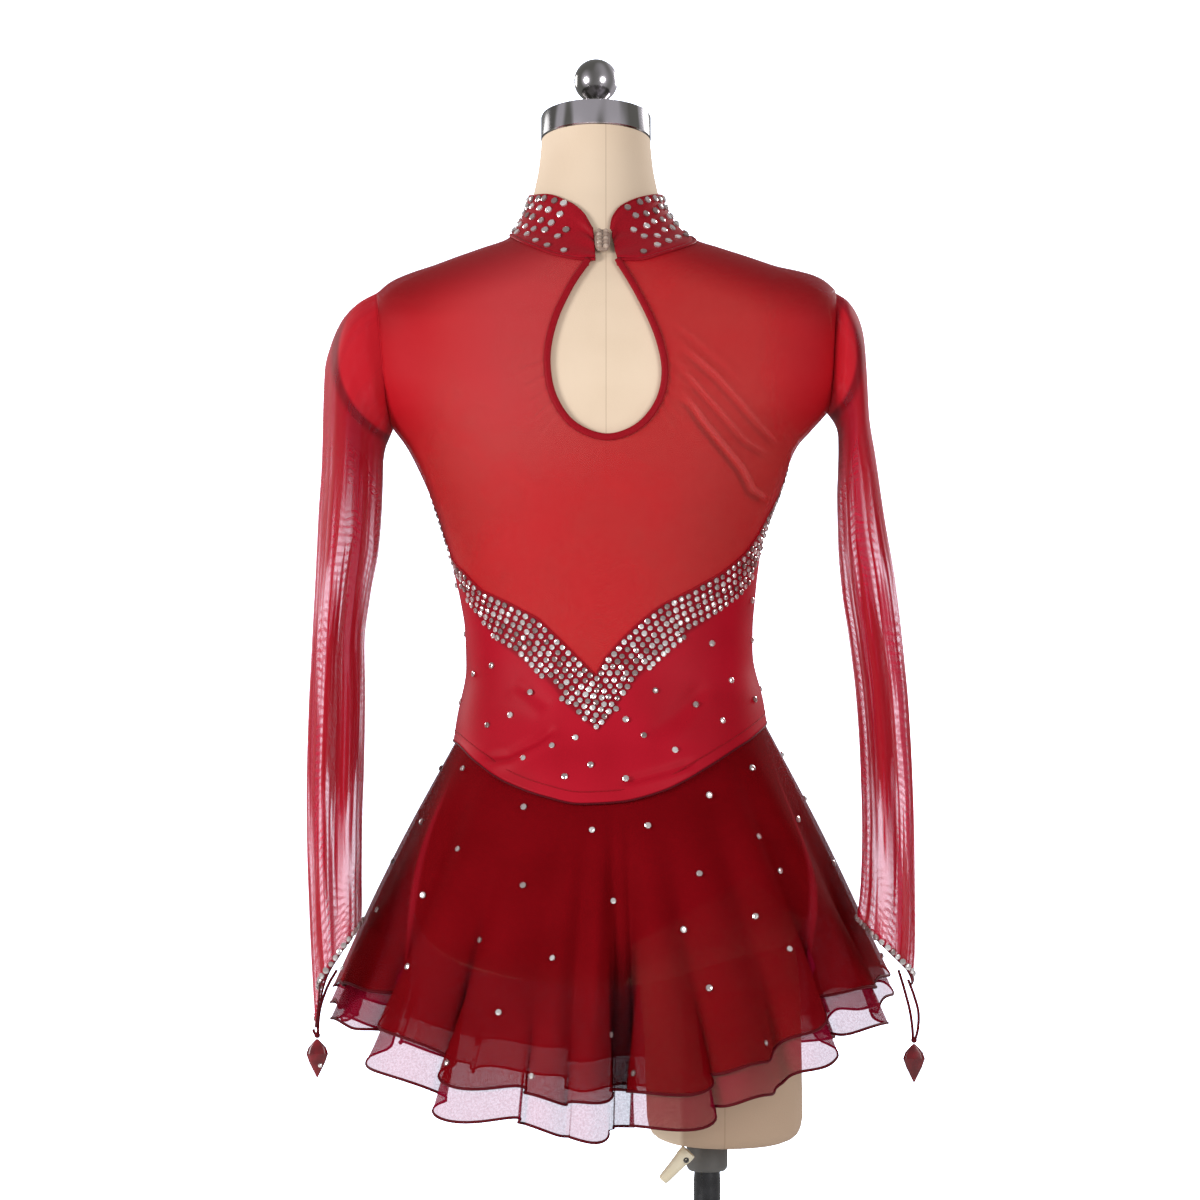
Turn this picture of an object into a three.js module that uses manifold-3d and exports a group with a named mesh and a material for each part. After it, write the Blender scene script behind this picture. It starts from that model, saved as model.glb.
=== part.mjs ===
import * as THREE from "three";
import { mergeVertices } from "three/addons/utils/BufferGeometryUtils.js";
import Module from "manifold-3d";

const wasm = await Module();
wasm.setup();

// A figure skating dress on a limbless dress form, seen from the wearer's back.
// Millimetres, +Z up, -Y the wearer's back, +X the wearer's right, floor at Z = 0.
// Angles go round the body in degrees: 0 back, 90 right, 180 front, 270 (or -90) left.

const CLOTH_IN = 1.6;
const CLOTH = 1.0;
const SEAM_GAP = 0.3;
const SHOULDER_MID_X = 6;
const NECK_TOP_Z = 1310.5;
const NECK_TILT = THREE.MathUtils.degToRad(11);
const STUMP_BOTTOM_Z = 457;
const POLE_X = 93.5;
const POLE_R = 11.5;
const BASE_R = 205;
const BASE_H = 12;

const rad = THREE.MathUtils.degToRad;
const mix = THREE.MathUtils.lerp;
const smooth = (x) => THREE.MathUtils.smoothstep(x, 0, 1);
const vec = (x, y, z) => new THREE.Vector3(x, y, z);

// Rows of numbers with named columns
function table(names, rows) {
  const keys = names.split(" ");
  return rows.map((row) => Object.fromEntries(keys.map((key, i) => [key, row[i]])));
}

// Straight lines between the rows of a table
function straight(rows, key, value) {
  return (x) => {
    const last = rows.length - 1;
    if (x <= rows[0][key]) return rows[0][value];
    if (x >= rows[last][key]) return rows[last][value];
    const i = rows.findIndex((row) => row[key] > x) - 1;
    const t = (x - rows[i][key]) / (rows[i + 1][key] - rows[i][key]);
    return mix(rows[i][value], rows[i + 1][value], t);
  };
}

// A smooth line through the rows of a table that never swings past them
function flowing(rows, key, value) {
  const n = rows.length;
  const slope = rows.slice(1).map((row, i) => (row[value] - rows[i][value]) / (row[key] - rows[i][key]));
  const tangent = rows.map((row, i) => {
    if (i === 0) return slope[0];
    if (i === n - 1) return slope[n - 2];
    const product = slope[i - 1] * slope[i];
    return product <= 0 ? 0 : (2 * product) / (slope[i - 1] + slope[i]);
  });
  return (x) => {
    const c = THREE.MathUtils.clamp(x, rows[0][key], rows[n - 1][key]);
    const i = Math.min(Math.max(rows.findIndex((row) => row[key] > c) - 1, 0), n - 2);
    const j = c >= rows[n - 1][key] ? n - 2 : i;
    const h = rows[j + 1][key] - rows[j][key];
    const t = (c - rows[j][key]) / h;
    const a = (1 + 2 * t) * (1 - t) ** 2 * rows[j][value] + t * (1 - t) ** 2 * h * tangent[j];
    const b = t * t * (3 - 2 * t) * rows[j + 1][value] + t * t * (t - 1) * h * tangent[j + 1];
    return a + b;
  };
}

// Sections of the dress form: centre, half width, depth to the back and to the front, squareness
const SECTIONS = table("z cx half cy back front square", [
  [592, 12.5, 46, 0, 30, 26, 2.0],
  [597, 12.5, 92, 0, 58, 50, 2.0],
  [608, 12.5, 130, 0, 84, 70, 2.1],
  [625, 12.5, 154, 0, 104, 84, 2.2],
  [660, 12.5, 166, 0, 119, 95, 2.3],
  [700, 12.5, 163, 0, 122, 98, 2.3],
  [740, 12.5, 150, 0, 115, 96, 2.25],
  [770, 12.5, 138, 0, 106, 92, 2.2],
  [797, 12.5, 126.5, 0, 96, 88, 2.2],
  [830, 11.5, 122, 1, 87, 85, 2.2],
  [865, 10.5, 119.5, 2, 82, 82, 2.2],
  [890, 10, 120, 3, 84, 84, 2.2],
  [916, 9, 123, 4, 88, 90, 2.2],
  [940, 7.5, 127, 5, 94, 97, 2.2],
  [963, 6.5, 131.5, 6, 100, 104, 2.2],
  [985, 6, 138, 7, 105, 111, 2.2],
  [1003, 6, 145, 7, 107, 115, 2.25],
  [1026, 5, 154, 6, 108, 114, 2.3],
  [1047, 4, 164, 5, 107, 109, 2.4],
  [1062, 5, 176, 4, 105, 104, 2.6],
  [1080, 6, 190, 2, 101, 98, 2.9],
  [1105, 6.5, 199, 0, 96, 91, 3.2],
  [1130, 6.5, 200, -1, 90, 83, 3.3],
  [1150, 6.5, 198, -1, 85, 76, 3.3],
  [1165, 6.5, 193, -1, 80, 71, 3.1],
  [1178, 6.5, 182, 0, 76, 67, 2.8],
  [1190, 6, 162, 2, 71, 64, 2.5],
  [1203, 4.7, 130, 5, 65, 61, 2.2],
  [1212, 3.5, 105, 9, 60, 58, 2.1],
  [1222, 2.5, 78, 14, 57, 55, 2.0],
  [1230, 1, 69, 17, 56, 54, 2.0],
  [1240, 0, 62, 20, 54, 54, 2.0],
  [1250, -0.5, 57, 24, 53, 52, 2.0],
  [1262, -1, 54, 28, 51, 50, 2.0],
  [1288, -1, 49, 34, 48, 48, 2.0],
  [1320, -1, 46, 40, 46, 46, 2.0],
]);
const sectionLine = Object.fromEntries(
  ["cx", "half", "cy", "back", "front", "square"].map((key) => [key, flowing(SECTIONS, "z", key)]),
);

function section(z) {
  return Object.fromEntries(Object.entries(sectionLine).map(([key, line]) => [key, line(z)]));
}

// The point of the form's surface at an angle and a height
function formPoint(deg, z) {
  const s = section(z);
  const x = Math.sin(rad(deg));
  const y = -Math.cos(rad(deg));
  const depth = y < 0 ? s.back : s.front;
  const power = (Math.abs(x) / s.half) ** s.square + (Math.abs(y) / depth) ** s.square;
  const reach = power ** (-1 / s.square);
  return vec(s.cx + x * reach, s.cy + y * reach, z);
}

function formNormal(deg, z) {
  const round = formPoint(deg + 0.5, z).sub(formPoint(deg - 0.5, z));
  const up = formPoint(deg, z + 0.5).sub(formPoint(deg, z - 0.5));
  return round.cross(up).normalize();
}

const offForm = (deg, z, off) => formPoint(deg, z).addScaledVector(formNormal(deg, z), off);

// Less than one inside the form, more than one outside it
function formLevel(p) {
  const s = section(p.z);
  const depth = p.y < s.cy ? s.back : s.front;
  return (Math.abs(p.x - s.cx) / s.half) ** s.square + (Math.abs(p.y - s.cy) / depth) ** s.square;
}

// Seam and edge heights round the body
const NECKLINE = table("deg z", [
  [-90, 990], [-80, 950], [-70, 939], [-62, 924.5], [-51, 915], [-37, 901], [-30, 888.5], [-19, 870],
  [-8, 853], [-3, 867], [6.5, 882.7], [17, 898], [28, 912], [42, 925], [55, 939], [66, 955],
  [74, 972], [82, 1000], [90, 1025], [105, 1054], [125, 1084], [145, 1096], [165, 1084], [180, 1070],
  [195, 1084], [215, 1096], [235, 1080], [255, 1040], [270, 990],
]);
const WAIST_SEAM = table("deg z", [
  [-90, 796], [-77, 793.7], [-58, 778.7], [-42, 763.4], [-27, 753.5], [-13, 748.2], [3, 749.8],
  [20, 757.7], [38, 774.2], [60, 795], [76, 807], [90, 812], [120, 800], [150, 781], [180, 773],
  [210, 779], [240, 790], [270, 796],
]);
const COLLAR_TOP = table("deg z", [
  [9.5, 1226], [13, 1236], [23, 1247.5], [44, 1256], [71, 1261], [90, 1262], [180, 1262],
  [270, 1262], [294, 1260], [311, 1259], [336, 1250], [348, 1240], [354.5, 1226],
]);
const COLLAR_BOTTOM = table("deg z", [
  [-90, 1226], [-70, 1221], [-55, 1214.7], [-31, 1202.3], [-15, 1198.5], [9, 1198], [22, 1198],
  [41, 1204.5], [60, 1213], [78, 1220.6], [90, 1224], [135, 1220], [180, 1216], [225, 1220],
  [270, 1226], [290, 1221], [305, 1214.7], [329, 1202.3], [345, 1198.5], [360, 1198],
]);
const necklineZ = straight(NECKLINE, "deg", "z");
const seamZ = flowing(WAIST_SEAM, "deg", "z");
const collarTopZ = flowing(COLLAR_TOP, "deg", "z");
const collarBottomZ = flowing(COLLAR_BOTTOM, "deg", "z");

const BACK_DEG = [-90, -80, -70, -58, -45, -32, -20, -8, 5, 18, 31, 44, 56, 68, 79, 90];
const FRONT_DEG = [90, 101, 113, 126, 139, 152, 166, 180, 194, 208, 221, 234, 247, 259, 270];
const ALL_DEG = [...BACK_DEG.slice(0, -1), ...FRONT_DEG.slice(0, -1)];

function geometry(points, index) {
  const g = new THREE.BufferGeometry();
  g.setAttribute("position", new THREE.Float32BufferAttribute(points.flatMap((p) => p.toArray()), 3));
  g.setIndex(index);
  let volume = 0;
  for (let i = 0; i < index.length; i += 3) {
    const [a, b, c] = [0, 1, 2].map((k) => points[index[i + k]]);
    volume += a.dot(b.clone().cross(c));
  }
  if (volume < 0) {
    const turned = [];
    for (let i = 0; i < index.length; i += 3) turned.push(index[i], index[i + 2], index[i + 1]);
    g.setIndex(turned);
  }
  return g;
}

// A closed wall between two grids of points: skin(u, v, 1) on the outside, skin(u, v, 0) inside
function wall(us, vs, round, skin) {
  const points = [];
  const index = [];
  for (const side of [1, 0]) {
    for (const v of vs) {
      for (const u of us) points.push(skin(u, v, side));
    }
  }
  const nu = us.length;
  const last = vs.length - 1;
  const spans = round ? nu : nu - 1;
  const at = (i, j, side) => (1 - side) * nu * vs.length + j * nu + (i % nu);
  const quad = (a, b, c, d) => index.push(a, b, c, a, c, d);
  for (let i = 0; i < spans; i++) {
    for (let j = 0; j < last; j++) {
      quad(at(i, j, 1), at(i + 1, j, 1), at(i + 1, j + 1, 1), at(i, j + 1, 1));
      quad(at(i, j, 0), at(i, j + 1, 0), at(i + 1, j + 1, 0), at(i + 1, j, 0));
    }
    quad(at(i, 0, 0), at(i + 1, 0, 0), at(i + 1, 0, 1), at(i, 0, 1));
    quad(at(i, last, 1), at(i + 1, last, 1), at(i + 1, last, 0), at(i, last, 0));
  }
  if (!round) {
    const end = nu - 1;
    for (let j = 0; j < last; j++) {
      quad(at(0, j, 1), at(0, j + 1, 1), at(0, j + 1, 0), at(0, j, 0));
      quad(at(end, j, 0), at(end, j + 1, 0), at(end, j + 1, 1), at(end, j, 1));
    }
  }
  return geometry(points, index);
}

// A solid through rings of points, closed by a fan at each end
function loft(rings) {
  const n = rings[0].length;
  const points = rings.flat();
  const index = [];
  for (let j = 0; j < rings.length - 1; j++) {
    for (let i = 0; i < n; i++) {
      const k = (i + 1) % n;
      index.push(j * n + i, j * n + k, (j + 1) * n + k, j * n + i, (j + 1) * n + k, (j + 1) * n + i);
    }
  }
  for (const [ring, flip] of [[0, true], [rings.length - 1, false]]) {
    const middle = rings[ring].reduce((sum, p) => sum.add(p), vec(0, 0, 0)).divideScalar(n);
    points.push(middle);
    for (let i = 0; i < n; i++) {
      const a = ring * n + i;
      const b = ring * n + ((i + 1) % n);
      index.push(points.length - 1, ...(flip ? [b, a] : [a, b]));
    }
  }
  return geometry(points, index);
}

function toManifold(g) {
  const bare = new THREE.BufferGeometry();
  bare.setAttribute("position", g.getAttribute("position").clone());
  bare.setIndex(g.index);
  const merged = mergeVertices(bare, 1e-3);
  const vertProperties = new Float32Array(merged.getAttribute("position").array);
  const triVerts = new Uint32Array(merged.index.array);
  return new wasm.Manifold(new wasm.Mesh({ numProp: 3, vertProperties, triVerts }));
}

function fromManifold(solid) {
  const mesh = solid.getMesh();
  const g = new THREE.BufferGeometry();
  g.setAttribute("position", new THREE.Float32BufferAttribute(Array.from(mesh.vertProperties), 3));
  g.setIndex(Array.from(mesh.triVerts));
  return g;
}

const cut = (g, ...tools) =>
  fromManifold(tools.reduce((solid, tool) => solid.subtract(toManifold(tool)), toManifold(g)));
const join = (g, ...more) =>
  fromManifold(more.reduce((solid, next) => solid.add(toManifold(next)), toManifold(g)));

const steps = (n) => Array.from({ length: n + 1 }, (_, i) => i / n);

// A panel on the form: each row is a height, or a function of the angle that gives one
const heightOf = (row, deg) => (typeof row === "function" ? row(deg) : row);
function bodyPanel(degs, rows, lift) {
  const toSide = degs === BACK_DEG ? -1 : 1;
  return wall(degs, rows, false, (deg, row, side) => {
    const z = heightOf(row, deg);
    const p = offForm(deg, z, lift(deg, z) + side * CLOTH);
    if (deg === degs[0] || deg === degs[degs.length - 1]) p.y += (toSide * SEAM_GAP) / 2;
    return p;
  });
}

// All that lies past an edge line on the form, up (way 1) or down (way -1), as a solid to cut with
const CUT_DEEP = 3;
const CUT_HIGH = 8;
const CUT_SHIFTS = [0, 8, 500];
const CUT_SPREAD = [0.12, 1.8];
function pastLine(degs, lineZ, way) {
  return wall(degs, CUT_SHIFTS, true, (deg, shift, side) => {
    const z = lineZ(deg);
    const p = offForm(deg, z, side ? CUT_HIGH : -CUT_DEEP);
    if (shift > 0) {
      const s = section(z);
      p.x = mix(s.cx, p.x, CUT_SPREAD[side]);
      p.y = mix(s.cy, p.y, CUT_SPREAD[side]);
    }
    p.z += way * shift;
    return p;
  });
}

// Dress form: torso and neck, one thigh stump
const FORM_Z = [
  592, 598, 612, 640, 690, 740, 775, 805, 840, 875, 910, 945, 975, 1005, 1030, 1052, 1075, 1100, 1130, 1152,
  1168, 1182, 1194, 1204, 1213, 1222, 1232, 1248, 1272,
];
const neckTop = ALL_DEG.map((deg) => {
  const p = formPoint(deg, NECK_TOP_Z);
  p.z -= (p.y - section(NECK_TOP_Z).cy) * Math.tan(NECK_TILT);
  return p;
});
const torso = loft([...FORM_Z.map((z) => ALL_DEG.map((deg) => formPoint(deg, z))), neckTop]);

const THIGH = table("z cx half deep", [
  [457, 108.5, 40, 46],
  [458.5, 108.5, 53, 61],
  [464, 108.5, 62, 70.5],
  [477, 108.5, 66, 75],
  [540, 107, 66.5, 76],
  [600, 103, 68, 77],
  [650, 98, 66, 74],
]);
const THIGH_SIDES = 24;
const thighRings = (grow) =>
  THIGH.map((row) =>
    steps(THIGH_SIDES).slice(1).map((t) => {
      const a = t * 2 * Math.PI;
      const x = row.cx + (row.half + grow) * Math.sin(a);
      return vec(x, -(row.deep + grow) * Math.cos(a), row.z - grow * 0.2);
    }),
  );
const form = join(torso, loft(thighRings(0)));

// Armhole planes: rel is the distance from the shoulders' middle
const ARMHOLE = {
  left: { sign: -1, top: vec(SHOULDER_MID_X - 190, 0, 1171), bottom: vec(SHOULDER_MID_X - 179, 0, 1058) },
  right: { sign: 1, top: vec(SHOULDER_MID_X + 194, 0, 1168), bottom: vec(SHOULDER_MID_X + 189, 0, 1072) },
};
for (const hole of Object.values(ARMHOLE)) {
  hole.along = hole.top.clone().sub(hole.bottom).normalize();
  hole.out = vec(hole.along.z, 0, -hole.along.x).multiplyScalar(hole.sign);
}

const CUTTER = 600;
function armholeCutter(hole) {
  const g = new THREE.BoxGeometry(CUTTER, CUTTER, CUTTER);
  const turn = new THREE.Matrix4().makeBasis(hole.out, vec(0, 1, 0), hole.out.clone().cross(vec(0, 1, 0)));
  g.applyMatrix4(turn);
  const middle = hole.top.clone().addScaledVector(hole.out, CUTTER / 2);
  g.translate(middle.x, middle.y, middle.z);
  return g;
}

// Keyhole opening below the collar's clasp
const KEYHOLE = table("x z", [
  [-6.3, 1194.5], [-20.6, 1172.3], [-33.7, 1142.6], [-38.6, 1113.3], [-33.6, 1084.2], [-18, 1061.9],
  [7.5, 1052], [31.3, 1059.5], [47.7, 1078.5], [53.5, 1102], [48.7, 1130], [34, 1163.7], [16.3, 1194.5],
]);
const KEYHOLE_STEPS = 32;
const KEYHOLE_TOP_Z = 1240;
const keyholeCurve = new THREE.CatmullRomCurve3(KEYHOLE.map((row) => vec(row.x, 0, row.z)));
const keyholePoints = keyholeCurve.getPoints(KEYHOLE_STEPS);
const keyholeShape = new THREE.Shape([
  ...keyholePoints.map((p) => new THREE.Vector2(p.x, p.z)),
  new THREE.Vector2(KEYHOLE[12].x - 2, KEYHOLE_TOP_Z),
  new THREE.Vector2(KEYHOLE[0].x + 2, KEYHOLE_TOP_Z),
]);
const keyholeCutter = new THREE.ExtrudeGeometry(keyholeShape, { depth: 200, bevelEnabled: false });
keyholeCutter.rotateX(Math.PI / 2);

// The form's back surface straight behind a point of the X-Z plane
function onBack(x, z, off) {
  const depth = (q, h) => {
    const r = section(h);
    return r.cy - r.back * (1 - (Math.abs(q - r.cx) / r.half) ** r.square) ** (1 / r.square);
  };
  const y = depth(x, z);
  const normal = vec(depth(x + 0.5, z) - depth(x - 0.5, z), -1, depth(x, z + 0.5) - depth(x, z - 0.5));
  return vec(x, y, z).addScaledVector(normal.normalize(), off);
}

const COLLAR_DEG = [
  9.5, 12.5, 16.5, 22, 29, 38, 50, 63, 76, 90, 106, 122, 140, 160, 180, 200, 220, 238, 254, 270, 284, 297,
  310, 322, 331, 339, 345.5, 350.5, 354.5,
];
const COLLAR_GAP = 1.1;
const lineDegs = [...NECKLINE.slice(0, -1).map((row) => row.deg), ...ALL_DEG];
const NECKLINE_DEG = [...new Set(lineDegs)].sort((a, b) => a - b);
const collarLineDeg = [...COLLAR_DEG, 360];
const YOKE_ROWS = FORM_Z.filter((z) => z > 830 && z < 1245);
const belowNeckline = pastLine(NECKLINE_DEG, (deg) => necklineZ(deg) + SEAM_GAP / 2, -1);
const aboveNeckline = pastLine(NECKLINE_DEG, (deg) => necklineZ(deg) - SEAM_GAP / 2, 1);
const aboveYoke = pastLine(collarLineDeg, (deg) => collarBottomZ(deg) - COLLAR_GAP, 1);
const armholes = [armholeCutter(ARMHOLE.left), armholeCutter(ARMHOLE.right)];
const yoke = (degs, ...tools) =>
  cut(bodyPanel(degs, YOKE_ROWS, () => CLOTH_IN), belowNeckline, aboveYoke, ...armholes, ...tools);
const backYoke = yoke(BACK_DEG, keyholeCutter);
const frontYoke = yoke(FRONT_DEG);

// Waist stack, from the form outwards: brief, inner skirt, outer skirt, bodice edge
const SKIRT_IN_MID = 3.4;
const SKIRT_OUT_MID = 4.7;
const BODICE_EDGE = 7.2;
const SKIRT_TUCK = 2;
const FLARE_END = 12;
const FLARE_START = 34;
const BODICE_UPPER = FORM_Z.filter((z) => z >= 875 && z <= 1130);
const BODICE_ROWS = [
  seamZ,
  (deg) => seamZ(deg) + FLARE_END,
  (deg) => seamZ(deg) + mix(FLARE_END, FLARE_START, 0.45),
  (deg) => seamZ(deg) + FLARE_START,
  (deg) => mix(seamZ(deg) + FLARE_START, BODICE_UPPER[0], 0.5),
  ...BODICE_UPPER,
];
const bodiceLift = (deg, z) => {
  const above = z - seamZ(deg);
  return mix(CLOTH_IN, BODICE_EDGE, 1 - smooth((above - FLARE_END) / (FLARE_START - FLARE_END)));
};
const backBodice = cut(bodyPanel(BACK_DEG, BODICE_ROWS, bodiceLift), aboveNeckline);
const frontBodice = cut(bodyPanel(FRONT_DEG, BODICE_ROWS, bodiceLift), aboveNeckline);

// Brief: closed below the form's hips, with two leg openings
const HIP_Z = 740;
function hipSolid(off, over) {
  const low = ALL_DEG.map((deg) => {
    const p = formPoint(deg, FORM_Z[0]);
    p.z -= off;
    return p;
  });
  const top = (deg) => seamZ(deg) + SKIRT_TUCK + over;
  const hips = FORM_Z.filter((z) => z > FORM_Z[0] && z <= HIP_Z);
  const rows = [...hips, (deg) => mix(HIP_Z, top(deg), 0.5), top];
  return loft([low, ...rows.map((row) => ALL_DEG.map((deg) => offForm(deg, heightOf(row, deg), off)))]);
}
const briefShell = cut(hipSolid(CLOTH_IN + CLOTH, 0), hipSolid(CLOTH_IN, 20));
const BRIEF_LEG = { radius: 84, length: 260, lean: rad(30), middle: 92, z: 606 };
function legCutter(sign) {
  const g = new THREE.CylinderGeometry(BRIEF_LEG.radius, BRIEF_LEG.radius, BRIEF_LEG.length, 20);
  g.rotateX(Math.PI / 2);
  g.scale(1, 1.7, 1);
  g.translate(0, 0, -BRIEF_LEG.length / 2 + 62);
  g.rotateY(-sign * BRIEF_LEG.lean);
  g.translate(SECTIONS[0].cx + sign * BRIEF_LEG.middle, 0, BRIEF_LEG.z);
  return g;
}
const brief = cut(briefShell, legCutter(-1), legCutter(1), loft(thighRings(2)));

// Collar: open at the centre back, gathered towards the clasp
const COLLAR_IN = 1.9;
const COLLAR_THICK = 1.5;
const GATHER_SPREAD = 13;
const collar = wall(COLLAR_DEG, steps(4), false, (deg, v, side) => {
  const fromEnd = Math.min(deg - COLLAR_DEG[0], COLLAR_DEG[COLLAR_DEG.length - 1] - deg);
  const gather = Math.exp(-((fromEnd / GATHER_SPREAD) ** 2));
  const puff = gather * (1.4 + 1.1 * Math.cos(v * 5 * Math.PI));
  const z = mix(collarBottomZ(deg), collarTopZ(deg), v);
  return offForm(deg, z, COLLAR_IN + puff + side * COLLAR_THICK);
});

// Clasp between the collar's two ends
const CLASP_ROWS = 7;
const CLASP = { x: 4.6, z: 1212, half: 6.6, tall: 12.5, deep: 3.2 };
const claspProfile = steps(CLASP_ROWS).map((t) => {
  const a = t * Math.PI - Math.PI / 2;
  return new THREE.Vector2(Math.cos(a) ** 0.45 * CLASP.half, Math.sin(a) * CLASP.tall);
});
claspProfile[0].x = 0;
claspProfile[CLASP_ROWS].x = 0;
const clasp = new THREE.LatheGeometry(claspProfile, 14);
clasp.rotateX(Math.PI / 2);
clasp.scale(1, CLASP.deep / CLASP.half, 1);
const claspNormal = onBack(CLASP.x, CLASP.z, 1).sub(onBack(CLASP.x, CLASP.z, 0));
clasp.rotateX(-Math.atan2(claspNormal.z, -claspNormal.y));
const claspPlace = onBack(CLASP.x, CLASP.z, CLOTH_IN + CLASP.deep + 1.2);
clasp.translate(claspPlace.x, claspPlace.y, claspPlace.z);

// Dark binding that lies on the keyhole's edge
const BINDING = { wide: 5, off: CLOTH_IN + CLOTH + SEAM_GAP, thick: 1.2 };
const bindingSide = keyholePoints.map((p, i) => {
  const before = keyholePoints[Math.max(i - 1, 0)];
  const after = keyholePoints[Math.min(i + 1, KEYHOLE_STEPS)];
  const along = after.clone().sub(before).normalize();
  return vec(-along.z, 0, along.x).multiplyScalar(-1);
});
const keyholeBinding = wall([0, 1], steps(KEYHOLE_STEPS), false, (u, v, side) => {
  const i = Math.round(v * KEYHOLE_STEPS);
  const p = keyholePoints[i].clone().addScaledVector(bindingSide[i], -u * BINDING.wide);
  return onBack(p.x, p.z, BINDING.off + side * BINDING.thick);
});

// Sleeves: inner (armpit) line, outer line, half depth and middle along Y, fold depth
const SLEEVE_COLUMNS = "inX inZ outX outZ deep mid fold";
const SLEEVES = {
  left: {
    tip: 30,
    rings: table(SLEEVE_COLUMNS, [
      [-178, 1052, -202, 1170, 64, -2, 0],
      [-180, 1046, -217, 1157, 66, -2, 0],
      [-181, 1039, -226, 1138, 67, -3, 0.01],
      [-181.5, 1030, -230, 1110, 67, -4, 0.02],
      [-181.5, 1016, -231, 1076, 66, -7, 0.03],
      [-182, 994, -231.5, 1036, 64, -11, 0.04],
      [-184, 960, -234, 985, 60, -18, 0.05],
      [-191, 920, -236, 930, 56, -28, 0.06],
      [-195.5, 878, -238, 876, 53, -38, 0.07],
      [-194.5, 830, -239.5, 822, 51, -49, 0.08],
      [-195, 780, -240, 770, 49, -59, 0.09],
      [-196, 730, -239, 715, 47, -68, 0.1],
      [-196, 688, -237, 664, 45, -75, 0.1],
      [-195.5, 661, -234.5, 622, 43, -79, 0.09],
      [-195.5, 649, -232, 594, 42, -80, 0.07],
    ]),
  },
  right: {
    tip: 9,
    rings: table(SLEEVE_COLUMNS, [
      [203, 1066, 211, 1165, 64, -2, 0],
      [205, 1060, 221, 1152, 66, -2, 0],
      [206, 1052, 225.5, 1133, 67, -3, 0.01],
      [206, 1041, 228, 1106, 67, -4, 0.02],
      [205.5, 1026, 230, 1074, 66, -7, 0.03],
      [204.5, 1003, 236, 1036, 64, -11, 0.04],
      [205, 963, 243, 985, 60, -18, 0.05],
      [208, 922, 251.5, 932, 56, -28, 0.06],
      [213, 885, 257, 878, 53, -38, 0.07],
      [218.5, 835, 261, 826, 51, -49, 0.08],
      [221.5, 782, 263, 772, 49, -59, 0.09],
      [222.5, 732, 264, 716, 47, -68, 0.1],
      [221.5, 690, 264, 668, 45, -75, 0.1],
      [219, 663, 263.5, 628, 43, -79, 0.09],
      [217, 650, 262, 606, 42, -80, 0.07],
    ]),
  },
};
const SLEEVE_SIDES = 20;
const SLEEVE_FOLDS = 5;
const BLEND_RINGS = 4;

function armholeRing(hole) {
  const middle = hole.top.clone().add(hole.bottom).multiplyScalar(0.5);
  return steps(SLEEVE_SIDES).slice(0, -1).map((t) => {
    const turn = t * 2 * Math.PI;
    const way = hole.along.clone().multiplyScalar(Math.cos(turn)).add(vec(0, -Math.sin(turn), 0));
    let [near, far] = [0, 140];
    for (let i = 0; i < 40; i++) {
      const half = (near + far) / 2;
      if (formLevel(middle.clone().addScaledVector(way, half)) < 1) near = half;
      else far = half;
    }
    const p = middle.clone().addScaledVector(way, near);
    const e = 0.4;
    const slope = (axis) =>
      formLevel(p.clone().addScaledVector(axis, e)) - formLevel(p.clone().addScaledVector(axis, -e));
    const n = vec(slope(vec(1, 0, 0)), slope(vec(0, 1, 0)), slope(vec(0, 0, 1))).normalize();
    n.addScaledVector(hole.out, -n.dot(hole.out)).normalize();
    return { p: p.addScaledVector(hole.out, SEAM_GAP), n };
  });
}

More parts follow.
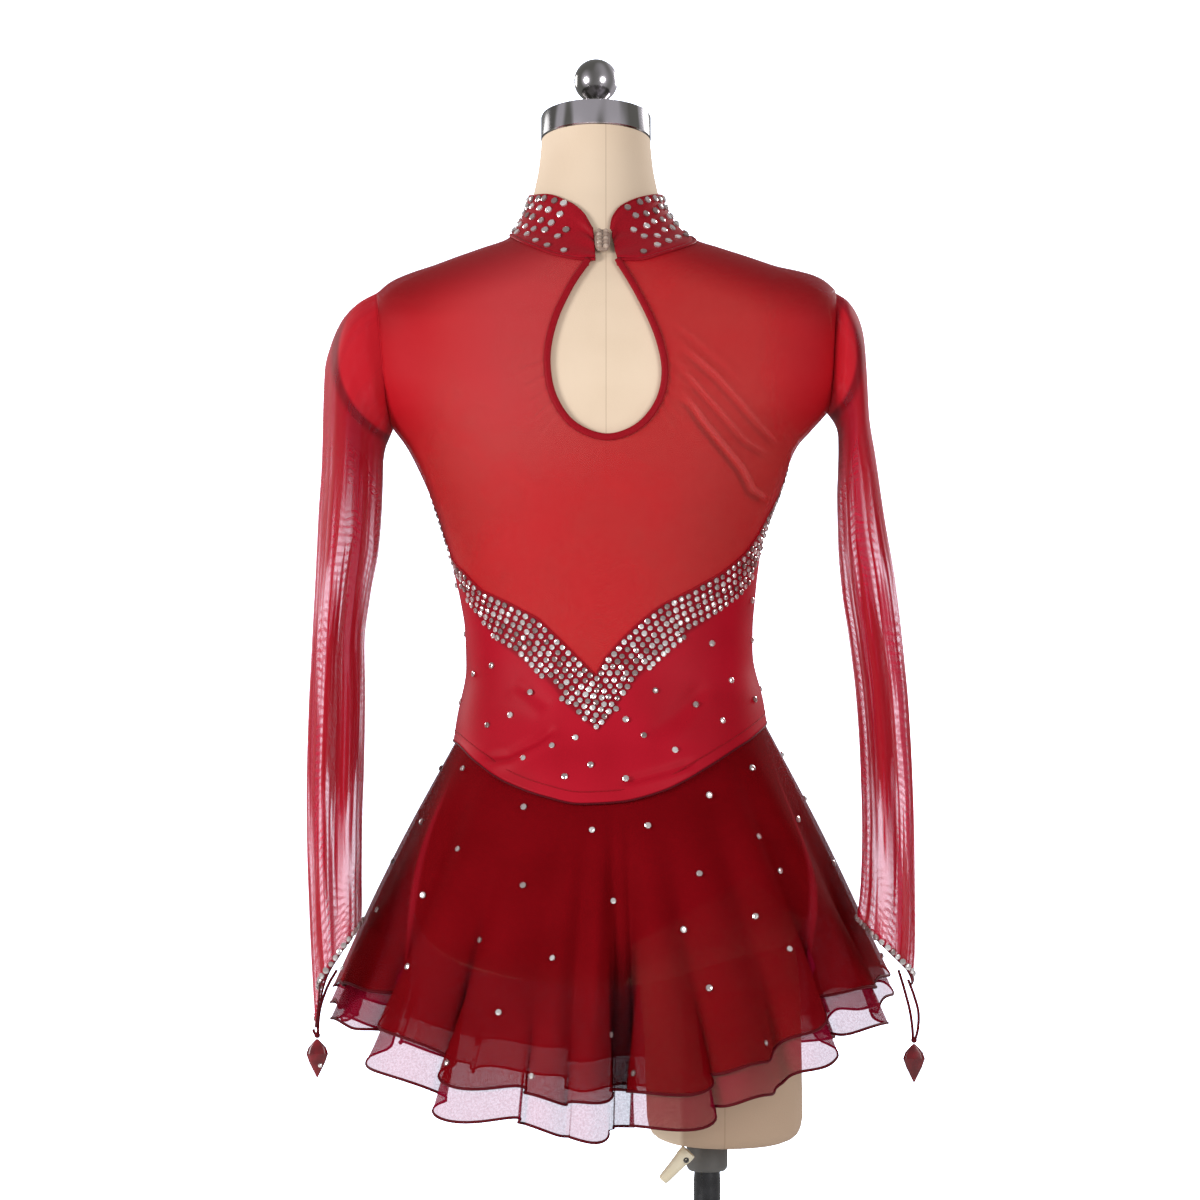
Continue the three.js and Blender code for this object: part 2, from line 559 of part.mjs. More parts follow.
function sleeve(side) {
  const hole = ARMHOLE[side];
  const first = armholeRing(hole);
  const half = SLEEVE_SIDES / 2;
  const start = first.map(({ p, n }) => p.clone().addScaledVector(n, CLOTH_IN + CLOTH / 2));
  const startMid = start[0].clone().add(start[half]).multiplyScalar(0.5);
  const startLong = start[0].distanceTo(start[half]) / 2;
  const startDeep = (start[SLEEVE_SIDES * 0.75].y - start[SLEEVE_SIDES * 0.25].y) / 2;
  const shape = start.map((p) => ({
    u: p.clone().sub(startMid).dot(hole.along) / startLong,
    v: (p.y - startMid.y) / startDeep,
  }));
  const { rings, tip } = SLEEVES[side];
  const middles = [start];
  rings.forEach((ring, k) => {
    const w = smooth((k + 1) / BLEND_RINGS);
    const inner = vec(ring.inX, 0, ring.inZ);
    const outer = vec(ring.outX, 0, ring.outZ);
    const centre = inner.clone().add(outer).multiplyScalar(0.5);
    const axis = outer.clone().sub(inner).multiplyScalar(0.5);
    const ending = [0.35, 1][k - rings.length + 2] ?? 0;
    middles.push(
      shape.map((s, i) => {
        const turn = (i / SLEEVE_SIDES) * 2 * Math.PI;
        const folds = 1 + ring.fold * Math.cos(SLEEVE_FOLDS * turn + 0.9 * hole.sign + 0.12 * k);
        const u = mix(s.u, Math.cos(turn), w) * folds;
        const v = mix(s.v, -Math.sin(turn), w) * folds;
        const p = centre.clone().addScaledVector(axis, u);
        p.y = ring.mid + ring.deep * v;
        const away = Math.min(turn, 2 * Math.PI - turn);
        p.z -= tip * ending * Math.exp(-((away / 0.5) ** 2));
        return p;
      }),
    );
  });
  const normal = (i, k) => {
    if (k === 0) return first[i].n;
    const ring = middles[k];
    const round = ring[(i + 1) % SLEEVE_SIDES].clone().sub(ring[(i + SLEEVE_SIDES - 1) % SLEEVE_SIDES]);
    const down = middles[Math.min(k + 1, middles.length - 1)][i].clone().sub(middles[k - 1][i]);
    const n = round.cross(down).normalize();
    const centre = ring.reduce((sum, p) => sum.add(p), vec(0, 0, 0)).divideScalar(SLEEVE_SIDES);
    return n.dot(ring[i].clone().sub(centre)) < 0 ? n.negate() : n;
  };
  const around = [...Array(SLEEVE_SIDES).keys()];
  return wall(around, [...middles.keys()], true, (i, k, out) =>
    middles[k][i].clone().addScaledVector(normal(i, k), (out - 0.5) * CLOTH),
  );
}

// Skirt folds at the hem: where each valley lies, how far it sinks, how far its lobe stands out
const FOLDS = table("valley dip push sway", [
  [-78, 9, 9, 5],
  [-57, 15, 10, 7],
  [-38, 17, 12, 8],
  [-18, 14, 12, 8],
  [3, 26, 13, 8],
  [21, 13, 9, 6],
  [37, 12, 10, 6],
  [54, 16, 10, 7],
  [73, 9, 9, 5],
  [97, 12, 11, 7],
  [120, 16, 12, 8],
  [143, 17, 12, 8],
  [167, 15, 11, 8],
  [190, 17, 12, 8],
  [213, 15, 11, 8],
  [236, 15, 12, 7],
  [259, 10, 9, 6],
]);
const FOLD_PHASES = [0, 0.22, 0.41, 0.59, 0.78];
const HEM = { cx: 11, cy: -3, halfX: 226, halfY: 190 };
const HEM_LINE = table("deg z drop", [
  [-90, 588, 12],
  [-66, 600, 28],
  [-49, 562, 30],
  [-27, 527, 24],
  [-11, 519, 23],
  [-2, 517, 30],
  [12, 527, 25],
  [30, 543, 24],
  [42, 566, 26],
  [60, 592, 30],
  [90, 600, 13],
  [120, 566, 20],
  [150, 524, 24],
  [180, 504, 26],
  [210, 522, 24],
  [240, 560, 20],
  [270, 588, 12],
]);
const hemZ = flowing(HEM_LINE, "deg", "z");
const hemDrop = flowing(HEM_LINE, "deg", "drop");
const backAround = (deg) => (deg > 270 ? deg - 360 : deg < -90 ? deg + 360 : deg);

function foldAt(deg) {
  const a = deg < FOLDS[0].valley ? deg + 360 : deg;
  const next = (i) => (i + 1 < FOLDS.length ? FOLDS[i + 1] : { ...FOLDS[0], valley: FOLDS[0].valley + 360 });
  let i = FOLDS.length - 1;
  while (FOLDS[i].valley > a) i--;
  const p = (a - FOLDS[i].valley) / (next(i).valley - FOLDS[i].valley);
  const dip = mix(FOLDS[i].dip, next(i).dip, smooth(p));
  const bump = (0.5 - 0.5 * Math.cos(2 * Math.PI * p)) ** 0.85;
  return { radial: -dip + (dip + FOLDS[i].push) * bump, around: -FOLDS[i].sway * Math.sin(2 * Math.PI * p) };
}

// The middle of the outer skirt: t is 0 at the waist seam and 1 at the outer hem
function skirtPoint(rawDeg, t) {
  const deg = backAround(rawDeg);
  const top = offForm(deg, seamZ(deg) + SKIRT_TUCK, SKIRT_OUT_MID);
  const out = vec(Math.sin(rad(deg)), -Math.cos(rad(deg)), 0);
  const side = vec(Math.cos(rad(deg)), Math.sin(rad(deg)), 0);
  const hem = vec(HEM.cx + HEM.halfX * out.x, HEM.cy + HEM.halfY * out.y, hemZ(deg));
  const reach = t + 0.05 * Math.sin(Math.PI * t);
  const fold = foldAt(deg);
  const grow = Math.max(t, 0) ** 1.5;
  const p = vec(mix(top.x, hem.x, reach), mix(top.y, hem.y, reach), mix(top.z, hem.z, t));
  return p.addScaledVector(out, fold.radial * grow).addScaledVector(side, fold.around * grow);
}

function skirtNormal(deg, t) {
  const round = skirtPoint(deg + 0.6, t).sub(skirtPoint(deg - 0.6, t));
  const up = skirtPoint(deg, t - 0.01).sub(skirtPoint(deg, t + 0.01));
  return round.cross(up).normalize();
}

const SKIRT_DEG = FOLDS.flatMap((fold, i) => {
  const end = i + 1 < FOLDS.length ? FOLDS[i + 1].valley : FOLDS[0].valley + 360;
  return FOLD_PHASES.map((p) => mix(fold.valley, end, p));
});
const SKIRT_ROWS = [0, 0.2, 0.46, 0.73, 1];
const LAYER_SPREAD = 2.2;
function skirt(longer, inward) {
  return wall(SKIRT_DEG, SKIRT_ROWS, true, (deg, row, out) => {
    const a = backAround(deg);
    const t = row * (longer ? 1 + hemDrop(a) / (seamZ(a) - hemZ(a)) : 1);
    const apart = inward * (SKIRT_OUT_MID - SKIRT_IN_MID + LAYER_SPREAD * smooth(t * 2));
    return skirtPoint(deg, t).addScaledVector(skirtNormal(deg, t), (out - 0.5) * CLOTH - apart);
  });
}

// Finger loops and their leaf-shaped ends
const LOOP_WIDE = 2.4;
const LOOP_THICK = 1.5;
const LOOPS = {
  left: {
    y: -80,
    strands: [
      table("x z", [[-215.1, 610], [-222.1, 598], [-228.6, 580], [-230.6, 566], [-230.9, 556]]),
      table("x z", [[-234.6, 561], [-234.3, 559.5], [-233.7, 558], [-232.9, 557], [-232, 556]]),
    ],
  },
  right: {
    y: -80,
    strands: [
      table("x z", [[249.4, 610], [253.4, 597], [258.9, 576], [260.9, 562], [261.5, 552]]),
      table("x z", [[257.4, 602], [261.9, 590], [265.9, 575], [265.3, 560], [263.1, 552]]),
    ],
  },
};
const LEAF = { long: 33, half: 9.6, deep: 1.7 };
const LEAF_OUTLINE = table("share wide", [
  [0, 0], [0.1, 0.42], [0.22, 0.8], [0.38, 1], [0.6, 0.72], [0.82, 0.33], [1, 0],
]);
const KNOT_R = 2.6;

function strand(rows, y) {
  const path = new THREE.CatmullRomCurve3(rows.map((row) => vec(row.x, y, row.z)));
  const h = LOOP_THICK / 2;
  const w = LOOP_WIDE / 2;
  const shape = new THREE.Shape([
    new THREE.Vector2(-w, -h), new THREE.Vector2(w, -h), new THREE.Vector2(w, h), new THREE.Vector2(-w, h),
  ]);
  return new THREE.ExtrudeGeometry(shape, { steps: 8, bevelEnabled: false, extrudePath: path });
}

function fingerLoop({ y, strands }) {
  const ends = strands.map((rows) => rows[rows.length - 1]);
  const knot = new THREE.SphereGeometry(KNOT_R, 8, 6);
  knot.translate((ends[0].x + ends[1].x) / 2, y, ends[0].z);
  return join(knot, ...strands.map((rows) => strand(rows, y)));
}

function loopLeaf({ y, strands }) {
  const ends = strands.map((rows) => rows[rows.length - 1]);
  const profile = LEAF_OUTLINE.map((row) => new THREE.Vector2(row.wide * LEAF.half, -row.share * LEAF.long));
  const g = new THREE.LatheGeometry(profile.reverse(), 12);
  g.rotateX(Math.PI / 2);
  g.scale(1, LEAF.deep / LEAF.half, 1);
  g.translate((ends[0].x + ends[1].x) / 2, y, ends[0].z - KNOT_R - SEAM_GAP);
  return g;
}

// Neck cap with its ball, tilted down to the front with the neck
const CAP = { r: 47.4, h: 23, edge: 1.5 };
const STEM = { r: 8, h: 13 };
const BALL_R = 19;
const BALL_ROWS = 9;
function turned(rows, sides) {
  const g = new THREE.LatheGeometry(rows.map(([r, z]) => new THREE.Vector2(r, z)), sides);
  g.rotateX(Math.PI / 2);
  return g;
}
const capShape = turned(
  [
    [0, 0], [CAP.r - CAP.edge, 0], [CAP.r, CAP.edge],
    [CAP.r, CAP.h - CAP.edge], [CAP.r - CAP.edge, CAP.h], [0, CAP.h],
  ],
  32,
);
const ballRows = steps(BALL_ROWS).map((t) => {
  const a = mix(-1.13, Math.PI / 2, t);
  return [BALL_R * Math.cos(a), CAP.h + SEAM_GAP + STEM.h + BALL_R + BALL_R * Math.sin(a) - 1];
});
ballRows[BALL_ROWS][0] = 0;
const stemFoot = CAP.h + SEAM_GAP;
const stemRows = [[0, stemFoot], [STEM.r + 3, stemFoot], [STEM.r + 3, stemFoot + 3], [STEM.r, stemFoot + 4.5]];
const knobShape = turned([...stemRows, ...ballRows], 20);
for (const g of [capShape, knobShape]) {
  g.rotateX(-NECK_TILT);
  g.translate(section(NECK_TOP_Z).cx, section(NECK_TOP_Z).cy, NECK_TOP_Z + SEAM_GAP);
}

// Stand: collar under the stump, pole, round base
const STAND_COLLAR = { r: 17.5, h: 25 };
const collarTop = STUMP_BOTTOM_Z - SEAM_GAP;
const standCollar = turned(
  [
    [0, collarTop - STAND_COLLAR.h], [STAND_COLLAR.r - 2, collarTop - STAND_COLLAR.h],
    [STAND_COLLAR.r, collarTop - STAND_COLLAR.h + 3], [STAND_COLLAR.r, collarTop], [0, collarTop],
  ],
  24,
);
const poleTop = collarTop - STAND_COLLAR.h - SEAM_GAP;
const poleFoot = BASE_H + SEAM_GAP;
const standPole = turned([[0, poleFoot], [POLE_R, poleFoot], [POLE_R, poleTop], [0, poleTop]], 24);
const BASE_SIDES = 44;
const baseRows = [[0, 0], [BASE_R, 0], [BASE_R, BASE_H - 3], [BASE_R - 3, BASE_H], [0, BASE_H]];
const standBase = turned(baseRows, BASE_SIDES).rotateZ(Math.PI / BASE_SIDES);
for (const g of [standCollar, standPole, standBase]) g.translate(POLE_X, 0, 0);

const PEG = { x: 77, y: -34, r: 7, tipR: 4.6, long: 33, lean: rad(42), lift: 0.7 };
const formPeg = turned([[0, -PEG.long], [PEG.tipR, -PEG.long], [PEG.r, -6], [PEG.r, 0], [0, 0]], 16);
formPeg.rotateY(PEG.lean);
formPeg.translate(PEG.x, PEG.y, STUMP_BOTTOM_Z - SEAM_GAP - PEG.r * Math.sin(PEG.lean) + PEG.lift);

const CLOTH_RED = { color: 0x7d1019, roughness: 0.62 };
const SHEER_RED = { color: 0xb82c30, roughness: 0.55 };
const MATERIALS = {
  form: { color: 0xdcc7ae, roughness: 0.6 },
  chrome: { color: 0x9a9aa0, roughness: 0.15, metalness: 1 },
  black: { color: 0x141216, roughness: 0.25, metalness: 0.4 },
  grey: { color: 0x5e5c5a, roughness: 0.6 },
  cream: { color: 0xe0d6bd, roughness: 0.5 },
  sheer: SHEER_RED,
  cloth: CLOTH_RED,
  bodice: { color: 0xa81d30, roughness: 0.5 },
  dark: { color: 0x74141c, roughness: 0.55 },
  crystal: { color: 0x9a8674, roughness: 0.15 },
};

const group = new THREE.Group();
function add(name, g, material) {
  const mesh = new THREE.Mesh(g, new THREE.MeshStandardMaterial(MATERIALS[material]));
  mesh.name = name;
  group.add(mesh);
}

add("form_torso", form, "form");
add("form_cap", capShape, "chrome");
add("form_knob", knobShape, "chrome");
add("form_peg", formPeg, "cream");
add("stand_collar", standCollar, "grey");
add("stand_pole", standPole, "black");
add("stand_base", standBase, "black");
add("back_yoke", backYoke, "sheer");
add("front_yoke", frontYoke, "sheer");
add("back_bodice", backBodice, "bodice");
add("front_bodice", frontBodice, "bodice");
add("collar", collar, "cloth");
add("clasp", clasp, "crystal");
add("keyhole_binding", keyholeBinding, "dark");
add("sleeve_left", sleeve("left"), "sheer");
add("sleeve_right", sleeve("right"), "sheer");
add("skirt_outer", skirt(false, 0), "cloth");
add("skirt_inner", skirt(true, 1), "cloth");
add("brief", brief, "cloth");
for (const [side, loop] of Object.entries(LOOPS)) {
  add(`finger_loop_${side}`, fingerLoop(loop), "dark");
  add(`loop_leaf_${side}`, loopLeaf(loop), "dark");
}

export default group;
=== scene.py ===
import math

import bmesh
import bpy
import numpy as np
from mathutils import Matrix, Vector


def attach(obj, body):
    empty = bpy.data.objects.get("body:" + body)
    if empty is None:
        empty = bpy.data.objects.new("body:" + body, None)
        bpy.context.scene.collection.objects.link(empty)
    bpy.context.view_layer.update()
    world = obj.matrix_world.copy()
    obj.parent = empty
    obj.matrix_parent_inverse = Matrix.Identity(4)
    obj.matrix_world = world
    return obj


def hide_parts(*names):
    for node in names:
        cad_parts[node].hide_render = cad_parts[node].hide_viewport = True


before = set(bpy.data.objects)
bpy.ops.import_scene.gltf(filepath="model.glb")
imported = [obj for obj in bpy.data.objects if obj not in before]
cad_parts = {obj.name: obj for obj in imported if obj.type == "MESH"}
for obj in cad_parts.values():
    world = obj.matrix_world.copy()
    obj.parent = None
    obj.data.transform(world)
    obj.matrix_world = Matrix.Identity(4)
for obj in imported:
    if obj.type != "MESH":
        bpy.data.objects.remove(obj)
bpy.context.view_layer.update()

# A figure skating dress on a limbless dress form, seen from the wearer's back.
# Tables are in millimetres: +Z up, -Y the wearer's back, +X the wearer's right.
# Angles go round the body in degrees: 0 back, 90 right, 180 front, 270 (or -90) left.
MM = 0.001
CLOTH_IN = 1.6
CLOTH = 1.0
SEAM_GAP = 0.3
PANEL_OFF = CLOTH_IN + CLOTH / 2
PANEL_TOP = CLOTH_IN + CLOTH

# Camera first: level, straight behind the wearer
VIEW_FROM = 3000
VIEW_X, VIEW_Z = 2.5, 916
VIEW_WIDE = 1020
camera_data = bpy.data.cameras.new("camera")
camera_data.sensor_width = 36
camera_data.lens = 36 * VIEW_FROM / VIEW_WIDE
camera = bpy.data.objects.new("camera", camera_data)
camera.location = (VIEW_X * MM, -VIEW_FROM * MM, VIEW_Z * MM)
camera.rotation_euler = (math.pi / 2, 0, 0)
bpy.context.collection.objects.link(camera)
bpy.context.scene.camera = camera


# Numbers


def smooth(x):
    x = np.clip(x, 0, 1)
    return x * x * (3 - 2 * x)


def mix(a, b, t):
    return a + (b - a) * t


def unit(v):
    return v / np.maximum(np.linalg.norm(v, axis=-1, keepdims=True), 1e-9)


def way_along(points):
    """How far along a line each of its points lies"""
    return np.concatenate(([0], np.cumsum(np.linalg.norm(np.diff(points, axis=0), axis=1))))


def points_at(at, way, line):
    """A line's points at these distances along it"""
    return np.stack([np.interp(at, way, column) for column in line.T], -1)


def flowing(rows, column=1):
    """A smooth line through the rows of a table that never swings past them"""
    xs = np.array([row[0] for row in rows], float)
    ys = np.array([row[column] for row in rows], float)
    slope = np.diff(ys) / np.diff(xs)
    product, total = slope[:-1] * slope[1:], slope[:-1] + slope[1:]
    inner = np.where(product > 0, 2 * product / np.where(product > 0, total, 1), 0)
    tangent = np.concatenate((slope[:1], inner, slope[-1:]))

    def line(x):
        c = np.clip(x, xs[0], xs[-1])
        j = np.clip(np.searchsorted(xs, c, side="right") - 1, 0, len(xs) - 2)
        h = xs[j + 1] - xs[j]
        t = (c - xs[j]) / h
        low = (1 + 2 * t) * (1 - t) ** 2 * ys[j] + t * (1 - t) ** 2 * h * tangent[j]
        high = t * t * (3 - 2 * t) * ys[j + 1] + t * t * (t - 1) * h * tangent[j + 1]
        return low + high

    return line


def straight(rows, column=1):
    xs = [row[0] for row in rows]
    ys = [row[column] for row in rows]
    return lambda x: np.interp(x, xs, ys)


# The form: height, centre X, half width, centre Y, depth behind and in front, squareness
SECTIONS = [
    (592, 12.5, 46, 0, 30, 26, 2.0),
    (597, 12.5, 92, 0, 58, 50, 2.0),
    (608, 12.5, 130, 0, 84, 70, 2.1),
    (625, 12.5, 154, 0, 104, 84, 2.2),
    (660, 12.5, 166, 0, 119, 95, 2.3),
    (700, 12.5, 163, 0, 122, 98, 2.3),
    (740, 12.5, 150, 0, 115, 96, 2.25),
    (770, 12.5, 138, 0, 106, 92, 2.2),
    (797, 12.5, 126.5, 0, 96, 88, 2.2),
    (830, 11.5, 122, 1, 87, 85, 2.2),
    (865, 10.5, 119.5, 2, 82, 82, 2.2),
    (890, 10, 120, 3, 84, 84, 2.2),
    (916, 9, 123, 4, 88, 90, 2.2),
    (940, 7.5, 127, 5, 94, 97, 2.2),
    (963, 6.5, 131.5, 6, 100, 104, 2.2),
    (985, 6, 138, 7, 105, 111, 2.2),
    (1003, 6, 145, 7, 107, 115, 2.25),
    (1026, 5, 154, 6, 108, 114, 2.3),
    (1047, 4, 164, 5, 107, 109, 2.4),
    (1062, 5, 176, 4, 105, 104, 2.6),
    (1080, 6, 190, 2, 101, 98, 2.9),
    (1105, 6.5, 199, 0, 96, 91, 3.2),
    (1130, 6.5, 200, -1, 90, 83, 3.3),
    (1150, 6.5, 198, -1, 85, 76, 3.3),
    (1165, 6.5, 193, -1, 80, 71, 3.1),
    (1178, 6.5, 182, 0, 76, 67, 2.8),
    (1190, 6, 162, 2, 71, 64, 2.5),
    (1203, 4.7, 130, 5, 65, 61, 2.2),
    (1212, 3.5, 105, 9, 60, 58, 2.1),
    (1222, 2.5, 78, 14, 57, 55, 2.0),
    (1230, 1, 69, 17, 56, 54, 2.0),
    (1240, 0, 62, 20, 54, 54, 2.0),
    (1250, -0.5, 57, 24, 53, 52, 2.0),
    (1262, -1, 54, 28, 51, 50, 2.0),
    (1288, -1, 49, 34, 48, 48, 2.0),
    (1320, -1, 46, 40, 46, 46, 2.0),
]
SECTION_LINES = [flowing(SECTIONS, column) for column in range(1, 7)]
NECK_TOP_Z = 1310.5
NECK_TILT = math.radians(11)
STUMP_BOTTOM_Z = 457


def section(z):
    return [line(z) for line in SECTION_LINES]


def form_point(deg, z):
    """The form's surface at an angle and a height"""
    deg, z = np.broadcast_arrays(np.asarray(deg, float), np.asarray(z, float))
    cx, half, cy, back, front, square = section(z)
    x, y = np.sin(np.radians(deg)), -np.cos(np.radians(deg))
    depth = np.where(y < 0, back, front)
    power = (np.abs(x) / half) ** square + (np.abs(y) / depth) ** square
    reach = power ** (-1 / square)
    return np.stack((cx + x * reach, cy + y * reach, z), -1)


def form_normal(deg, z):
    deg, z = np.asarray(deg, float), np.asarray(z, float)
    way_round = form_point(deg + 0.5, z) - form_point(deg - 0.5, z)
    up = form_point(deg, z + 0.5) - form_point(deg, z - 0.5)
    return unit(np.cross(way_round, up))


def off_form(deg, z, off):
    return form_point(deg, z) + form_normal(deg, z) * np.asarray(off, float)[..., None]


def form_level(p):
    """Less than one inside the form, more than one outside it"""
    cx, half, cy, back, front, square = section(p[..., 2])
    depth = np.where(p[..., 1] < cy, back, front)
    return (np.abs(p[..., 0] - cx) / half) ** square + (np.abs(p[..., 1] - cy) / depth) ** square


def back_depth(x, z):
    cx, half, cy, back, _, square = section(z)
    inside = np.clip(1 - (np.abs(x - cx) / half) ** square, 1e-6, 1)
    return cy - back * inside ** (1 / square)


def on_back(x, z, off):
    """The form's back straight behind a point of the X-Z plane, and its normal there"""
    x, z = np.asarray(x, float), np.asarray(z, float)
    slope_x = back_depth(x + 0.5, z) - back_depth(x - 0.5, z)
    slope_z = back_depth(x, z + 0.5) - back_depth(x, z - 0.5)
    normal = unit(np.stack((slope_x, -np.ones_like(slope_x), slope_z), -1))
    point = np.stack((x, back_depth(x, z), z), -1)
    return point + normal * np.asarray(off, float)[..., None], normal


# The cloth bridges from the form's shoulder to the head of each sleeve, more on the right
BRIDGE_LEFT, BRIDGE_RIGHT = 3.5, 7
BRIDGE_FROM, BRIDGE_LONG, BRIDGE_LOW, BRIDGE_RISE = 140, 45, 1125, 45
# The sleeve's first ring and its seam rise this many times as far, as they are lifted
# in the armhole's plane
RING_LIFT = 1.5


def bridge(p):
    high = np.where(p[..., 0] < 0, BRIDGE_LEFT, BRIDGE_RIGHT)
    out = smooth((np.abs(p[..., 0] - 6) - BRIDGE_FROM) / BRIDGE_LONG)
    return high * out * smooth((p[..., 2] - BRIDGE_LOW) / BRIDGE_RISE)


# Seam and edge heights round the body
NECKLINE = [
    (-90, 990), (-80, 950), (-70, 939), (-62, 924.5), (-51, 915), (-37, 901), (-30, 888.5), (-19, 870),
    (-8, 853), (-3, 867), (6.5, 882.7), (17, 898), (28, 912), (42, 925), (55, 939), (66, 955),
    (74, 972), (82, 1000), (90, 1025), (105, 1054), (125, 1084), (145, 1096), (165, 1084), (180, 1070),
    (195, 1084), (215, 1096), (235, 1080), (255, 1040), (270, 990),
]
WAIST_SEAM = [
    (-90, 796), (-77, 793.7), (-58, 778.7), (-42, 763.4), (-27, 753.5), (-13, 748.2), (3, 749.8),
    (20, 757.7), (38, 774.2), (60, 795), (76, 807), (90, 812), (120, 800), (150, 781), (180, 773),
    (210, 779), (240, 790), (270, 796),
]
COLLAR_TOP = [
    (9.5, 1226), (13, 1236), (23, 1247.5), (44, 1256), (71, 1261), (90, 1262), (180, 1262),
    (270, 1262), (294, 1260), (311, 1259), (336, 1250), (348, 1240), (354.5, 1226),
]
COLLAR_BOTTOM = [
    (-90, 1226), (-70, 1221), (-55, 1214.7), (-31, 1202.3), (-15, 1198.5), (9, 1198), (22, 1198),
    (41, 1204.5), (60, 1213), (78, 1220.6), (90, 1224), (135, 1220), (180, 1216), (225, 1220),
    (270, 1226), (290, 1221), (305, 1214.7), (329, 1202.3), (345, 1198.5), (360, 1198),
]
# Lower edge of the beaded band under the neckline
BAND_LOW = [
    (-90, 962), (-77, 925), (-67, 898), (-56, 876.6), (-46, 864), (-30, 840), (-25, 829), (-13, 812),
    (-6.8, 804.7), (1.4, 820), (7.7, 836.6), (15, 848), (23, 858.7), (36, 878.5), (44, 889),
    (55, 902.5), (61, 911.6), (73.5, 926.7), (80, 950), (90, 985), (105, 1012), (125, 1040),
    (145, 1052), (165, 1040), (180, 1026), (195, 1040), (215, 1052), (235, 1036), (255, 996), (270, 962),
]
neckline_z = straight(NECKLINE)
seam_z = flowing(WAIST_SEAM)
collar_top_z = flowing(COLLAR_TOP)
collar_bottom_z = flowing(COLLAR_BOTTOM)
band_low_z = straight(BAND_LOW)


# Meshes


def select(*pieces):
    bpy.ops.object.select_all(action="DESELECT")
    for piece in pieces:
        piece.select_set(True)
    bpy.context.view_layer.objects.active = pieces[0]


def mesh_piece(name, points, faces, uv=None):
    """A mesh object from points in millimetres; uv has one pair for each face corner"""
    mesh = bpy.data.meshes.new(name)
    mesh.from_pydata((np.asarray(points).reshape(-1, 3) * MM).tolist(), [], faces)
    if uv is not None:
        layer = mesh.uv_layers.new(name="cut")
        layer.data.foreach_set("uv", np.asarray(uv, np.float32).ravel())
    mesh.update()
    piece = bpy.data.objects.new(name, mesh)
    bpy.context.collection.objects.link(piece)
    return piece


def lengths(points, axis):
    """How far along the cloth each row or column lies, in metres, on average"""
    steps = np.linalg.norm(np.diff(points, axis=axis), axis=2).mean(axis=1 - axis)
    return np.concatenate(([0], np.cumsum(steps))) * MM


def sheet_mesh(name, points, closed=False, flip=False):
    """A sheet through a grid of points, whose columns join up into a tube if it is closed"""
    rows, columns = points.shape[:2]
    us, vs = lengths(points, 1), lengths(points, 0)
    used = points[:, :-1] if closed else points
    width = used.shape[1]
    i, j = np.meshgrid(np.arange(columns - 1), np.arange(rows - 1))
    i, j = i.ravel(), j.ravel()
    corners = [(i, j), (i + 1, j), (i + 1, j + 1), (i, j + 1)]
    if flip:
        corners.reverse()
    faces = np.stack([cj * width + ci % width for ci, cj in corners], 1)
    uv = np.stack([np.stack((us[ci], vs[cj]), -1) for ci, cj in corners], 1)
    return mesh_piece(name, used, faces.tolist(), uv)


def apply(piece, kind, **settings):
    modifier = piece.modifiers.new("step", kind)
    for key, value in settings.items():
        setattr(modifier, key, value)
    select(piece)
    bpy.ops.object.modifier_apply(modifier=modifier.name)


def thicken(piece, wall=0.7):
    apply(piece, "SOLIDIFY", thickness=wall * MM, offset=0)
    piece.data.shade_smooth()


def edit(piece, work):
    """Runs work on the piece's mesh as a bmesh"""
    bm = bmesh.new()
    bm.from_mesh(piece.data)
    work(bm)
    bm.to_mesh(piece.data)
    bm.free()
    piece.data.update()


def note(piece, name, values):
    """Keeps a number at each point of a mesh for its material to read"""
    layer = piece.data.attributes.new(name, "FLOAT", "POINT")
    layer.data.foreach_set("value", np.asarray(values, np.float32).ravel())


def finish_piece(piece, material, slot, *nodes):
    piece.data.materials.clear()
    piece.data.materials.append(material)
    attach(piece, "root")
    if nodes:
        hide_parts(*nodes)
    return piece


def tube(name, path, normal, half_wide, half_thick, closed=False, sides=8):
    """A rounded strip along a path; normal is the side that it lies flat to"""
    path = np.asarray(path, float)
    if closed:
        ahead, behind = np.roll(path, -1, 0), np.roll(path, 1, 0)
    else:
        ahead = np.vstack((path[1:], path[-1:]))
        behind = np.vstack((path[:1], path[:-1]))
    along = unit(ahead - behind)
    across = unit(np.cross(along, normal))
    up = np.cross(across, along)
    turn = np.arange(sides) / sides * 2 * math.pi
    wide = np.broadcast_to(np.asarray(half_wide, float), len(path))[:, None, None]
    thick = np.broadcast_to(np.asarray(half_thick, float), len(path))[:, None, None]
    ring = path[:, None] + across[:, None] * np.cos(turn)[:, None] * wide
    ring = ring + up[:, None] * np.sin(turn)[:, None] * thick
    count = len(path)
    spans = count if closed else count - 1
    i, j = np.meshgrid(np.arange(sides), np.arange(spans))
    i, j = i.ravel(), j.ravel()
    k, n = (i + 1) % sides, (j + 1) % count
    faces = np.stack((j * sides + i, n * sides + i, n * sides + k, j * sides + k), 1).tolist()
    if not closed:
        faces.append(list(range(sides)))
        faces.append(list(range(count * sides - 1, (count - 1) * sides - 1, -1)))
    piece = mesh_piece(name, ring, faces)
    edit(piece, lambda bm: bmesh.ops.recalc_face_normals(bm, faces=bm.faces))
    piece.data.shade_smooth()
    return piece


